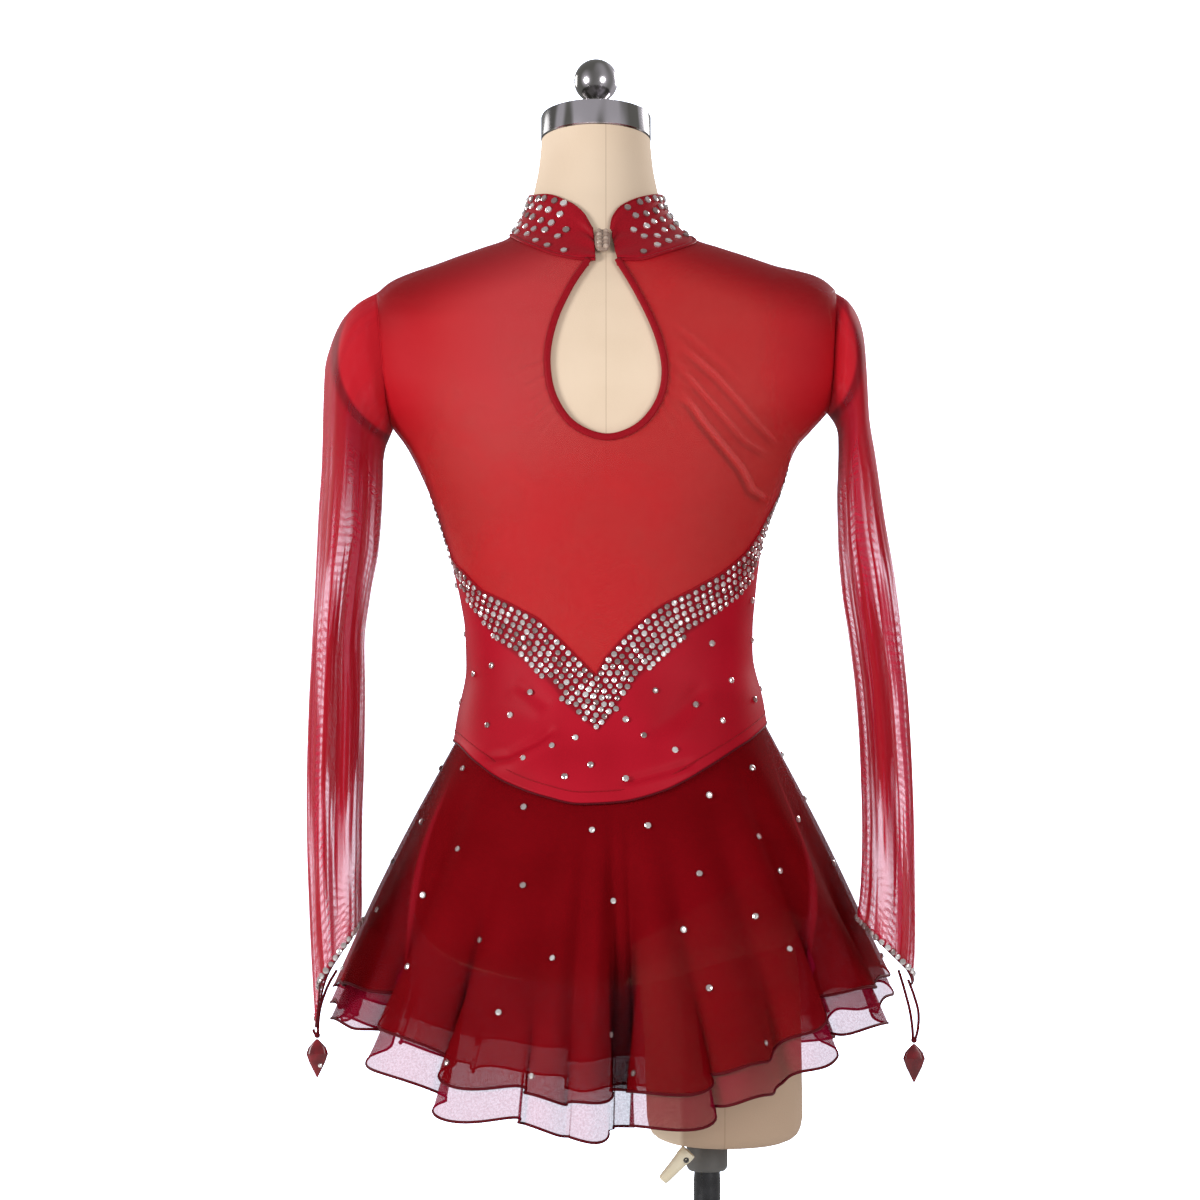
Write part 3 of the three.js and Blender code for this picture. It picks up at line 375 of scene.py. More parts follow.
def turned(name, rows, sides, tilt=(0, 0, 0), place=(0, 0, 0), bevel=0.0):
    """A shape round an axis, extruded ring by ring: rows of radius and height"""
    (r, z), *rest = rows
    bpy.ops.object.select_all(action="DESELECT")
    bpy.ops.mesh.primitive_circle_add(vertices=sides, radius=r * MM, fill_type="NGON")
    piece = bpy.context.object
    piece.name = name
    bpy.ops.object.mode_set(mode="EDIT")
    bpy.ops.mesh.select_all(action="SELECT")
    bpy.ops.transform.translate(value=(0, 0, z * MM))
    for next_r, next_z in rest:
        lift = (0, 0, (next_z - z) * MM)
        bpy.ops.mesh.extrude_region_move(TRANSFORM_OT_translate={"value": lift})
        grow = next_r / r
        bpy.ops.transform.resize(value=(grow, grow, 1), center_override=(0, 0, next_z * MM))
        r, z = next_r, next_z
    bpy.ops.mesh.select_all(action="SELECT")
    bpy.ops.mesh.normals_make_consistent(inside=False)
    bpy.ops.object.mode_set(mode="OBJECT")
    piece.rotation_euler = tilt
    piece.location = Vector(place) * MM
    bpy.ops.object.transform_apply(location=True, rotation=True, scale=True)
    if bevel:
        apply(piece, "BEVEL", width=bevel * MM, segments=2, limit_method="ANGLE")
    select(piece)
    bpy.ops.object.shade_smooth_by_angle(angle=math.radians(35))
    return piece


def joined(name, *pieces):
    select(*pieces)
    bpy.ops.object.join()
    pieces[0].name = name
    return pieces[0]


def crease(x, z, lines):
    """How far cloth stands up along soft folds: each is its points, half width and height"""
    lift = np.zeros_like(x)
    for points, wide, high in lines:
        near = np.full_like(x, 1e9)
        signed = np.zeros_like(x)
        along = np.zeros_like(x)
        count = len(points) - 1
        for i, ((ax, az), (bx, bz)) in enumerate(zip(points, points[1:])):
            dx, dz = bx - ax, bz - az
            long = math.hypot(dx, dz)
            t = np.clip(((x - ax) * dx + (z - az) * dz) / long**2, 0, 1)
            px, pz = x - ax - t * dx, z - az - t * dz
            gap = np.hypot(px, pz)
            closer = gap < near
            side = np.sign(px * dz - pz * dx)
            near = np.where(closer, gap, near)
            signed = np.where(closer, gap * side, signed)
            along = np.where(closer, (i + t) / count, along)
        taper = smooth(along / 0.25) * smooth((1 - along) / 0.2)
        ridge = np.exp(-((signed / wide) ** 2)) - 0.6 * np.exp(-(((signed - 1.7 * wide) / wide) ** 2))
        lift += high * taper * ridge
    return lift


# Materials


class Socket:
    """An output of a shader node; sums on it add Math nodes"""

    def __init__(self, finish, output):
        self.finish, self.output = finish, output

    def ramp(self, low, high, to_low=0.0, to_high=1.0):
        """Goes smoothly from one value to another as this one goes from low to high"""
        settings = {"interpolation_type": "SMOOTHSTEP"}
        values = {0: self, 1: low, 2: high, 3: to_low, 4: to_high}
        return self.finish.node("ShaderNodeMapRange", settings, values)


def sum_method(operation, swapped=False):
    """A way for sockets to add a Math node"""

    def method(self, *others):
        values = (*others, self) if swapped else (self, *others)
        return self.finish.node("ShaderNodeMath", {"operation": operation}, dict(enumerate(values)))

    return method


SUMS = {
    "__add__": "ADD", "__sub__": "SUBTRACT", "__mul__": "MULTIPLY", "__pow__": "POWER",
    "__lt__": "LESS_THAN", "min": "MINIMUM", "max": "MAXIMUM", "sin": "SINE", "abs": "ABSOLUTE",
}
for key, operation in SUMS.items():
    setattr(Socket, key, sum_method(operation))
for key in ("add", "sub"):
    setattr(Socket, f"__r{key}__", sum_method(SUMS[f"__{key}__"], swapped=True))


def colour(red, green, blue):
    """A colour as it is seen, 0 to 255, in the light's own measure"""
    parts = [v / 255 for v in (red, green, blue)]
    return [v / 12.92 if v <= 0.04045 else ((v + 0.055) / 1.055) ** 2.4 for v in parts] + [1]


class Finish:
    """A material made in code"""

    def __init__(self, name, **constants):
        self.material = bpy.data.materials.new(name)
        self.material.use_nodes = True
        self.tree = self.material.node_tree
        self.shader = self.tree.nodes["Principled BSDF"]
        for key, value in constants.items():
            self.shader.inputs[key.replace("_", " ")].default_value = value
        self.place = self.tree.nodes.new("ShaderNodeTexCoord")

    def node(self, kind, settings=None, inputs=None, out=0):
        made = self.tree.nodes.new(kind)
        for key, value in (settings or {}).items():
            setattr(made, key, value)
        for key, value in (inputs or {}).items():
            if isinstance(value, Socket):
                self.tree.links.new(value.output, made.inputs[key])
            else:
                made.inputs[key].default_value = value
        return Socket(self, made.outputs[out])

    def coordinates(self, kind="Object"):
        return Socket(self, self.place.outputs[kind])

    def parts(self, vector):
        split = self.tree.nodes.new("ShaderNodeSeparateXYZ")
        self.tree.links.new(vector.output, split.inputs[0])
        return [Socket(self, out) for out in split.outputs]

    def scaled(self, vector, x, y, z):
        return self.node("ShaderNodeVectorMath", {"operation": "MULTIPLY"}, {0: vector, 1: (x, y, z)})

    def noise(self, vector, scale, detail=2.0, rough=0.5):
        inputs = {"Vector": vector, "Scale": scale, "Detail": detail, "Roughness": rough}
        return self.node("ShaderNodeTexNoise", None, inputs)

    def noted(self, name):
        """A number that note() kept at the points of the mesh"""
        return self.node("ShaderNodeAttribute", {"attribute_name": name}, None, 2)

    def blend(self, share, a, b):
        return self.node("ShaderNodeMix", {"data_type": "RGBA"}, {0: share, 6: a, 7: b}, 2)

    def bump(self, height, strength=0.5, distance=0.001):
        inputs = {"Strength": strength, "Distance": distance, "Height": height}
        return self.node("ShaderNodeBump", None, inputs)

    def set(self, **links):
        for key, value in links.items():
            socket = self.shader.inputs[key.replace("_", " ")]
            if isinstance(value, Socket):
                self.tree.links.new(value.output, socket)
            else:
                socket.default_value = value
        return self.material


def weave(finish, scale):
    """A fine over and under pattern from the cloth's own cut"""
    u, v, _ = finish.parts(finish.coordinates("UV"))
    return ((u * scale).sin() * (v * scale).sin()) * 0.5 + 0.5


def form_cover():
    f = Finish("form_cover", Roughness=0.8, Specular_IOR_Level=0.2)
    place = f.coordinates()
    x, y, z = f.parts(place)
    soft = f.noise(place, 9, 3)
    grain = f.noise(place, 900, 2)
    base = f.blend(soft.ramp(0.3, 0.7), colour(228, 206, 182), colour(220, 197, 172))
    seam = ((x - 0.0075).abs() < 0.0004) * (y < 0)
    low = ((x - 0.106).abs() < 0.0006) * (y < 0) * (z < 0.6)
    # Painted shade: the thigh under the skirt is painted darker, all but its inner edge.
    thigh = (z < 0.592) * x.ramp(0.068, 0.073)
    base = f.blend(thigh * 0.8, base, colour(172, 144, 122))
    base = f.blend((seam + low) * 0.35, base, colour(150, 126, 102))
    bump = f.bump(grain + seam * -2, 0.25, 0.0004)
    return f.set(Base_Color=base, Normal=bump)


def stretch_mesh():
    """Sheer stretch mesh drawn over the form"""
    f = Finish("stretch_mesh", Roughness=0.6, Specular_IOR_Level=0.15, Sheen_Weight=0.04)
    f.set(Sheen_Tint=colour(255, 90, 90))
    place = f.coordinates()
    cloudy = f.noise(place, 7, 3)
    net = weave(f, 5200)
    cover = cloudy.ramp(0.3, 0.7, 0.52, 0.60) + net * 0.06
    base = f.blend(cloudy.ramp(0.25, 0.75), colour(194, 18, 30), colour(204, 24, 36))
    x, _, z = f.parts(place)
    out = (x - 0.006).abs()
    shoulder = (z + out * 0.45).ramp(1.205, 1.255)
    end = out.ramp(0.12, 0.18) * z.ramp(1.03, 1.08)
    base = f.blend(end * 0.7, base, colour(186, 14, 30))
    # A pink patch on the left of the back: partly thinner mesh over the form, partly painted sheen on the
    # side the key light falls on.
    veil_and_sheen = x.ramp(-0.16, -0.07) * x.ramp(-0.05, 0.05, 1, 0) * z.ramp(0.98, 1.1)
    base = f.blend(veil_and_sheen * 0.4, base, colour(214, 76, 84))
    # Over the shoulders the mesh covers more and is painted darker: denser cloth where it turns away, and
    # painted shade.
    base = f.blend(shoulder * 0.7, base, colour(132, 8, 18))
    cover = cover + (shoulder.max(end)) * 0.16
    # Painted highlight on the ridges of the pulls and painted shade in their troughs.
    fold = f.noted("fold")
    base = f.blend(fold.ramp(0.3, 2.2, 0, 0.35), base, colour(236, 96, 96))
    base = f.blend(fold.ramp(-1.2, -0.1, 0.5, 0), base, colour(120, 10, 20))
    return f.set(Base_Color=base, Alpha=cover, Normal=f.bump(net, 0.12, 0.0003))


# The middle of each shoulder's end, in metres: distance from the centre line, and height
SHOULDER_AT = (0.14, 1.1225)


def sleeve_mesh():
    """The same mesh hanging loose: long uneven streaks and grain where its two layers cross"""
    f = Finish("sleeve_mesh", Roughness=0.6, Specular_IOR_Level=0.1, Sheen_Weight=0.03)
    f.set(Sheen_Tint=colour(255, 90, 110))
    cut = f.coordinates("UV")
    u, v, _ = f.parts(cut)
    hang = f.noise(f.scaled(cut, 120, 5, 1), 1.0, 2, 0.55)
    broad = f.noise(f.scaled(cut, 24, 2.2, 1), 1.0, 1)
    patch = f.noise(f.scaled(cut, 26, 9, 1), 1.0, 2, 0.5)
    wander = f.noise(f.scaled(cut, 13, 5, 1), 1.0, 3, 0.55)
    hatch = (u * 260 + v * 900 + wander * 44).sin()
    head = v.ramp(0.02, 0.2, 1, 0)
    x, _, z = f.parts(f.coordinates())
    away = ((x.abs() - SHOULDER_AT[0]) ** 2 + (z - SHOULDER_AT[1]) ** 2) ** 0.5
    on_form = away.ramp(0.074, 0.077, 1, 0)
    rim = away.ramp(0.075, 0.078) * away.ramp(0.080, 0.086, 1, 0) * z.ramp(1.135, 1.155, 1, 0)
    line = (hang.ramp(0.49, 0.58) + broad.ramp(0.57, 0.64) + head * 0.85).min(1)
    dots = hatch.ramp(0, 0.7) * patch.ramp(0.45, 0.58)
    cover = 0.37 + line * 0.46 + dots * (1 - line) * 0.2
    base = f.blend(line, colour(206, 22, 60), colour(164, 8, 28))
    base = f.blend(on_form * 0.8, base, colour(202, 26, 40))
    base = f.blend(rim * 0.55, base, colour(84, 4, 14))
    return f.set(Base_Color=base, Alpha=cover.max(0.22).min(0.9))


def bodice_satin():
    f = Finish("bodice_satin", Roughness=0.5, Specular_IOR_Level=0.08, Sheen_Weight=0.3)
    f.set(Sheen_Roughness=0.24, Sheen_Tint=colour(255, 80, 130))
    place = f.coordinates()
    grain = f.noise(place, 1500, 2)
    soft = f.noise(place, 14, 2)
    base = f.blend(soft.ramp(0.3, 0.7), colour(172, 18, 38), colour(160, 14, 32))
    # Under the beaded band the satin is darker: partly its glue, partly painted shade of the stones.
    band = f.noted("band")
    base = f.blend(band * 0.7, base, colour(122, 10, 26))
    return f.set(Base_Color=base, Normal=f.bump(grain, 0.2, 0.0003))


def chiffon(name, cover, deep, light, uneven, shade):
    """Crinkled sheer cloth; cover is how much each face of the sheet hides"""
    f = Finish(name, Roughness=0.75, Specular_IOR_Level=0.03)
    place = f.coordinates()
    crinkle = f.noise(place, 620, 3, 0.65)
    soft = f.noise(place, 11, 2)
    fold = f.noted("fold")
    base = f.blend(soft.ramp(0.3, 0.7), deep, light)
    # Painted shade in the folds' valleys, and a painted highlight along the askew crests.
    base = f.blend(fold.ramp(0.15, 1.1, 0, 0.85), base, shade)
    base = f.blend(fold.ramp(-0.9, -0.1, 0.38, 0), base, colour(190, 34, 54))
    shown = crinkle.ramp(0.35, 0.65, cover * (1 - uneven), cover * (1 + uneven))
    return f.set(Base_Color=base, Alpha=shown, Normal=f.bump(crinkle, 0.2, 0.0003))


def plain_finish(name, shades, spots, grain, bump, **constants):
    """Two shades in soft spots over a fine grain"""
    f = Finish(name, **constants)
    place = f.coordinates()
    base = f.blend(f.noise(place, *spots).ramp(0.3, 0.7), *shades)
    return f.set(Base_Color=base, Normal=f.bump(f.noise(place, *grain), *bump))


def trim_cloth(name, *shades):
    constants = {"Roughness": 0.5, "Specular_IOR_Level": 0.08, "Sheen_Weight": 0.03}
    return plain_finish(name, shades, (900, 2), (900, 2), (0.3, 0.0004), **constants)


def leaf_satin():
    constants = {"Roughness": 0.3, "Coat_Weight": 0.25, "Specular_IOR_Level": 0.4}
    shades = colour(88, 8, 18), colour(120, 14, 26)
    return plain_finish("leaf_satin", shades, (120, 3), (120, 3), (0.2, 0.0004), **constants)


def moulded(name, shade, lighter, rough):
    return plain_finish(name, (shade, lighter), (40, 3), (700, 2), (0.15, 0.0003), Roughness=rough)


def crystal():
    """Foil-backed stones: each has its own tint in an attribute"""
    f = Finish("crystal", Roughness=0.08, Metallic=0.7, Coat_Weight=0.6)
    tint = f.noted("tint")
    base = f.blend(tint, colour(150, 128, 126), colour(252, 250, 250))
    return f.set(Base_Color=base)


def bead_glass():
    """Small grey-brown beads of the clasp"""
    f = Finish("bead_glass", Roughness=0.22, Coat_Weight=0.4)
    tint = f.noted("tint")
    place = f.coordinates()
    cloudy = f.noise(place, 500, 2)
    base = f.blend(tint * 0.6 + cloudy * 0.4, colour(128, 104, 92), colour(205, 182, 166))
    return f.set(Base_Color=base, Normal=f.bump(cloudy, 0.2, 0.0003))


def chrome():
    """Polished metal that mirrors a dim room; painted reflections run in darker stripes down its sides,
    and its left and right edges are painted darker
    """
    f = Finish("chrome", Roughness=0.14, Metallic=1.0)
    place = f.coordinates()
    painted_reflection_bands = f.noise(f.scaled(place, 46, 46, 1.5), 1.0, 1)
    base = f.blend(painted_reflection_bands.ramp(0.44, 0.56), colour(128, 126, 122), colour(218, 212, 220))
    x, _, _ = f.parts(place)
    # Painted darker reflection at the left and right edges.
    base = f.blend(x.abs().ramp(0.033, 0.043), base, colour(92, 90, 90))
    return f.set(Base_Color=base, Roughness=painted_reflection_bands.ramp(0.3, 0.8, 0.16, 0.26))


def lacquer():
    f = Finish("stand_lacquer", Roughness=0.25, Coat_Weight=0.5)
    dust = f.noise(f.coordinates(), 120, 3)
    base = f.blend(dust.ramp(0.4, 0.8), colour(17, 16, 20), colour(32, 31, 36))
    return f.set(Base_Color=base, Roughness=dust.ramp(0.3, 0.8, 0.24, 0.3))


FORM = form_cover()
MESH = stretch_mesh()
SLEEVE = sleeve_mesh()
SATIN = bodice_satin()
SKIRT = chiffon("skirt_chiffon", 0.62, colour(120, 4, 12), colour(132, 6, 16), 0.15, colour(18, 1, 3))
LINING = chiffon("lining_chiffon", 0.53, colour(132, 6, 36), colour(144, 10, 46), 0.07, colour(104, 4, 26))
BRIEF = trim_cloth("brief_satin", colour(100, 10, 18), colour(112, 14, 22))
COLLAR = trim_cloth("collar_cloth", colour(146, 10, 26), colour(160, 16, 32))
TRIM = trim_cloth("binding_cloth", colour(138, 10, 24), colour(152, 16, 30))
ARMHOLE = trim_cloth("armhole_thread", colour(176, 20, 34), colour(188, 26, 40))
HEM = trim_cloth("hem_thread", colour(78, 6, 16), colour(92, 10, 22))
CRYSTAL = crystal()
BEAD = bead_glass()
LEAF_CLOTH = leaf_satin()
CHROME = chrome()
LACQUER = lacquer()
GREY = moulded("stand_grey", colour(86, 84, 82), colour(98, 96, 94), 0.5)
CREAM = moulded("peg_cream", colour(224, 212, 184), colour(236, 228, 206), 0.45)

# Dress form: torso and neck joined to one thigh
FORM_DEG = np.linspace(0, 360, 121)
FORM_Z = np.concatenate(
    (
        [592, 594, 597, 602, 608, 616, 625],
        np.linspace(635, 1160, 64),
        np.linspace(1166, 1240, 22),
        np.linspace(1246, 1300, 10),
    )
)


def shell_cap(bm):
    """Closes the open ends and turns every face outwards"""
    loops = [e for e in bm.edges if e.is_boundary]
    bmesh.ops.holes_fill(bm, edges=loops, sides=0)
    bmesh.ops.recalc_face_normals(bm, faces=bm.faces)


body_rows = [form_point(FORM_DEG, z) for z in FORM_Z]
neck_top = form_point(FORM_DEG, NECK_TOP_Z)
neck_top[:, 2] -= (neck_top[:, 1] - section(NECK_TOP_Z)[2]) * math.tan(NECK_TILT)
form_body = sheet_mesh("form_body", np.array([*body_rows, neck_top]), closed=True)
edit(form_body, shell_cap)

# Thigh: height, centre X, half width, half depth
THIGH = [
    (457, 108.5, 40, 46), (457.4, 108.5, 47, 54), (458.5, 108.5, 53, 61), (460.6, 108.5, 58, 66),
    (464, 108.5, 62, 70.5), (469, 108.5, 64.5, 73), (477, 108.5, 66, 75), (500, 108, 66.4, 75.6),
    (540, 107, 66.5, 76), (570, 105.4, 67.4, 76.6), (600, 103, 68, 77), (650, 98, 66, 74),
]
THIGH_TURN = np.radians(np.linspace(0, 360, 73))


def thigh_solid(name, more=0.0, lower=0.0):
    """The thigh, this much wider and this much lower"""
    across, back = np.sin(THIGH_TURN), -np.cos(THIGH_TURN)
    rows = [
        np.stack((cx + (half + more) * across, (deep + more) * back, np.full_like(back, z - lower)), -1)
        for z, cx, half, deep in THIGH
    ]
    solid = sheet_mesh(name, np.array(rows), closed=True)
    edit(solid, shell_cap)
    return solid


thigh = thigh_solid("thigh")
apply(form_body, "BOOLEAN", operation="UNION", solver="EXACT", object=thigh)
bpy.data.objects.remove(thigh)
form_body.data.shade_smooth()
select(form_body)
bpy.ops.object.shade_smooth_by_angle(angle=math.radians(40))
finish_piece(form_body, FORM, "form_cloth", "form_torso")


# Neck cap and its knob, tilted with the neck
neck_x, _, neck_y, *_ = section(NECK_TOP_Z)
NECK_FOOT = (neck_x, neck_y, NECK_TOP_Z + SEAM_GAP)
NECK_TURN = (-NECK_TILT, 0, 0)
cap_rows = [(45.9, 0), (47.4, 1.5), (47.4, 20.5), (46.6, 22.2), (45, 23), (43, 22.6), (40, 22.8), (2, 23)]
cap = turned("neck_cap", cap_rows, 96, NECK_TURN, NECK_FOOT)
finish_piece(cap, CHROME, "cap_metal", "form_cap")
BALL_R, STEM_TOP = 19, 36.3
knob_rows = [(9.6, 23.3), (11, 24), (11, 25.8), (9.2, 27), (8, 28.2), (8, STEM_TOP)]
for step in range(1, 21):
    rise = mix(-1.13, math.pi / 2 - 0.04, step / 20)
    knob_rows.append((BALL_R * math.cos(rise), STEM_TOP + BALL_R * (1 + math.sin(rise)) - 1))
knob = turned("neck_knob", knob_rows, 64, NECK_TURN, NECK_FOOT)
finish_piece(knob, CHROME, "cap_metal", "form_knob")

# Stand: collar under the stump, pole and round base
POLE_X, POLE_R, BASE_R, BASE_H = 93.5, 11.5, 205, 12
STAND_TOP = STUMP_BOTTOM_Z - SEAM_GAP
STAND_AT = (POLE_X, 0, 0)
collar_rows = [(15.3, 431.7), (17, 433.6), (17.5, 435.5), (17.5, 455.2), (16.6, STAND_TOP)]
stand_collar = turned("stand_grip", collar_rows, 64, place=STAND_AT)
finish_piece(stand_collar, GREY, "stand_grey", "stand_collar")
pole_rows = [(POLE_R, BASE_H + SEAM_GAP), (POLE_R, 20), (POLE_R, 424), (10.8, 431.4)]
pole = turned("stand_rod", pole_rows, 64, place=STAND_AT)
finish_piece(pole, LACQUER, "stand_black", "stand_pole")
base_rows = [(BASE_R - 1, 0), (BASE_R, 2), (BASE_R, 8), (203, 11), (199, BASE_H), (40, BASE_H)]
base = turned("stand_plate", base_rows, 144, place=STAND_AT)
finish_piece(base, LACQUER, "stand_black", "stand_base")

# Lock peg that leans out beside the stand's collar, with its screw
PEG_LEAN = math.radians(42)
PEG_TOP = (77, -34, STAND_TOP - 7 * math.sin(PEG_LEAN) + 0.7)
peg_rows = [(3.4, -33), (4.6, -31.6), (5.4, -20), (6.4, -9), (7, -6), (7, -0.6), (6.6, 0)]
peg = turned("lock_peg", peg_rows, 40, (0, PEG_LEAN, 0), PEG_TOP)
finish_piece(peg, CREAM, "peg_cream", "form_peg")
screw_at = (PEG_TOP[0] - 2.2, PEG_TOP[1] - 5.6, PEG_TOP[2] - 6.5)
screw_rows = [(2.4, 0), (2.4, 1.4), (1.2, 1.6), (1.0, 0.9)]
screw = turned("peg_screw", screw_rows, 24, (math.pi / 2, 0, 0), screw_at)
finish_piece(screw, CHROME, "cap_metal")

# Panels on the form
ground = np.linspace(560, 1300, 1500)
ground_half = section(ground)[1]
ground_way = way_along(np.stack((ground, ground_half * 0.9), -1))


def rows_between(low, high, count):
    """Heights from low to high at even steps up the form and over the shoulder"""
    start, end = np.interp(low, ground, ground_way), np.interp(high, ground, ground_way)
    share = np.linspace(0, 1, count)[:, None]
    return np.interp(start + (end - start) * share, ground_way, ground)


# Soft pulls in the stretched cloth, in the X-Z plane: points, half width, height
YOKE_PULLS = [
    ([(60, 1135), (99, 1100), (133, 1063), (156, 1041)], 2.6, 1.9),
    ([(62, 1117), (88, 1086), (122, 1049), (147, 1035)], 2.4, 1.9),
    ([(64, 1097), (88, 1063), (119, 1026), (128, 1009), (147, 998)], 2.6, 3.0),
    ([(58, 1150), (92, 1122), (120, 1098)], 2.6, 1.0),
]
# Short wrinkles that the keyhole's binding draws into the mesh
for step in range(5):
    YOKE_PULLS.append(([(55 - 2 * step, 1116 - 9 * step), (84 - 3 * step, 1104 - 15 * step)], 1.8, 0.8))
    YOKE_PULLS.append(([(-38 + 3 * step, 1112 - 10 * step), (-66 + 5 * step, 1101 - 13 * step)], 1.8, 0.7))
BODICE_PULLS = [
    ([(-94, 781), (-70, 785), (-48, 799), (-32, 812)], 4.0, -2.2),
    ([(-70, 850), (-52, 838), (-36, 826)], 6.0, -1.2),
    ([(15, 763), (34, 768), (58, 774), (82, 781)], 3.6, -2.2),
    ([(40, 800), (64, 818), (92, 850)], 7.0, -1.4),
]
ARMHOLES = {
    "left": {"sign": -1, "top": (-184, 1171), "bottom": (-173, 1058)},
    "right": {"sign": 1, "top": (200, 1168), "bottom": (195, 1072)},
}
for hole in ARMHOLES.values():
    for end in ("top", "bottom"):
        hole[end] = np.array([hole[end][0], 0, hole[end][1]], float)
    hole["along"] = unit(hole["top"] - hole["bottom"])
    hole["out"] = np.array([hole["along"][2], 0, -hole["along"][0]]) * hole["sign"]


def trim_armholes(piece):
    def work(bm):
        for hole in ARMHOLES.values():
            plane = {"plane_co": hole["top"] * MM, "plane_no": hole["out"]}
            everything = bm.verts[:] + bm.edges[:] + bm.faces[:]
            bmesh.ops.bisect_plane(bm, geom=everything, clear_outer=True, **plane)

    edit(piece, work)


KEYHOLE = [
    (-6.3, 1194.5), (-20.6, 1172.3), (-33.7, 1142.6), (-38.6, 1113.3), (-33.6, 1084.2), (-18, 1061.9),
    (7.5, 1052), (31.3, 1059.5), (47.7, 1078.5), (53.5, 1102), (48.7, 1130), (34, 1163.7), (16.3, 1194.5),
]


def through(points, count):
    """An even, smooth line of count points through the given ones"""
    points = np.array(points, float)
    steps = np.linalg.norm(np.diff(points, axis=0), axis=1) ** 0.5
    at = np.concatenate(([0], np.cumsum(steps)))
    ghost_low, ghost_high = 2 * points[0] - points[1], 2 * points[-1] - points[-2]
    padded = np.vstack((ghost_low, points, ghost_high))
    knots = np.concatenate(([-steps[0]], at, [at[-1] + steps[-1]]))

    def point(t):
        j = min(max(int(np.searchsorted(at, t, side="right")) - 1, 0), len(points) - 2)
        p, k = padded[j : j + 4], knots[j : j + 4]
        a = [mix(p[i], p[i + 1], (t - k[i]) / (k[i + 1] - k[i])) for i in range(3)]
        b = [mix(a[i], a[i + 1], (t - k[i]) / (k[i + 2] - k[i])) for i in range(2)]
        return mix(b[0], b[1], (t - k[1]) / (k[2] - k[1]))

    dense = np.array([point(t) for t in np.linspace(0, at[-1], 40 * len(points))])
    way = way_along(dense)
    even = np.linspace(0, way[-1], count)
    return points_at(even, way, dense)


keyhole_line = through(KEYHOLE, 120)


def inside(x, z, outline):
    """Which points lie inside a closed outline"""
    found = np.zeros(x.shape, bool)
    for (ax, az), (bx, bz) in zip(outline, np.roll(outline, -1, 0)):
        if az == bz:
            continue
        crosses = (az > z) != (bz > z)
        found ^= crosses & (x < ax + (bx - ax) * (z - az) / (bz - az))
    return found


# The keyhole's edge in the mesh: X from and to, Z from and to
KEYHOLE_BOX = (-46, 62, 1044, 1193)


def cut_keyhole(piece, lift):
    outline = np.vstack((keyhole_line, [(14, 1245), (-4, 1245)]))
    left, right, low, high = KEYHOLE_BOX

    def work(bm):
        centres = np.array([f.calc_center_median() for f in bm.faces]) / MM
        gone = inside(centres[:, 0], centres[:, 2], outline) & (centres[:, 1] < 0)
        bm.faces.ensure_lookup_table()
        doomed = [bm.faces[i] for i in np.flatnonzero(gone)]
        bmesh.ops.delete(bm, geom=doomed, context="FACES")
        for vert in bm.verts:
            x, y, z = vert.co / MM
            if not (vert.is_boundary and y < 0 and left < x < right and low < z < high):
                continue
            gaps = np.hypot(keyhole_line[:, 0] - x, keyhole_line[:, 1] - z)
            nx, nz = keyhole_line[gaps.argmin()]
            vert.co = Vector(on_back(nx, nz, lift)[0] * MM)

    edit(piece, work)


def body_panel(name, degs, low, high, rows, lift, pulls=()):
    """A sheet on the form between two edge lines"""
    degs = np.asarray(degs, float)
    z = rows_between(low(degs), high(degs), rows)
    deg = np.broadcast_to(degs, z.shape)
    points = form_point(deg, z)
    off = lift(deg, z)
    pull = crease(points[..., 0], points[..., 2], pulls) * (points[..., 1] < 0) if pulls else 0 * z
    off = off + pull + bridge(points)
    piece = sheet_mesh(name, points + form_normal(deg, z) * off[..., None])
    # The pulls' heights, from which the mesh paints highlight on their ridges and shade in their troughs.
    note(piece, "fold", pull)
    # How far into the beaded band, where the satin is painted darker.
    note(piece, "band", smooth((z - band_low_z(deg)) / 5))
    return piece


BACK_DEG = np.linspace(-90, 90, 271)
FRONT_DEG = np.linspace(90, 270, 121)


def flat_lift(deg, z):
    return np.full_like(z, PANEL_OFF)


def collar_low(deg):
    return collar_bottom_z(deg) - 0.8


for name, degs, pulls in (("back_mesh", BACK_DEG, YOKE_PULLS), ("front_mesh", FRONT_DEG, ())):
    panel = body_panel(name, degs, neckline_z, collar_low, 156, flat_lift, pulls)
    trim_armholes(panel)
    if name == "back_mesh":
        cut_keyhole(panel, PANEL_OFF)
    thicken(panel)
    finish_piece(panel, MESH, "mesh_red", name.replace("mesh", "yoke"))

# Bodice: its lower edge flares over the tops of the skirts
BODICE_EDGE = 7.2
FLARE_END, FLARE_START = 12, 62


def bodice_lift(deg, z):
    above = z - seam_z(deg)
    flare = 1 - smooth((above - FLARE_END) / (FLARE_START - FLARE_END))
    return mix(CLOTH_IN, BODICE_EDGE, flare) + CLOTH / 2


for name, degs, pulls in (("back_satin", BACK_DEG, BODICE_PULLS), ("front_satin", FRONT_DEG, ())):
    panel = body_panel(name, degs, seam_z, neckline_z, 80, bodice_lift, pulls)
    thicken(panel)
    finish_piece(panel, SATIN, "bodice_red", name.replace("satin", "bodice"))

# Thin seams that lie on the panels
seam_deg = np.linspace(-90, 270, 541)[:-1]


def seam_tube(name, deg, z, off, half_wide, half_thick, material, slot):
    deg, z = np.asarray(deg, float), np.asarray(z, float)
    path = off_form(deg, z, np.broadcast_to(off, deg.shape))
    piece = tube(name, path, form_normal(deg, z), half_wide, half_thick, True, 6)
    return finish_piece(piece, material, slot)


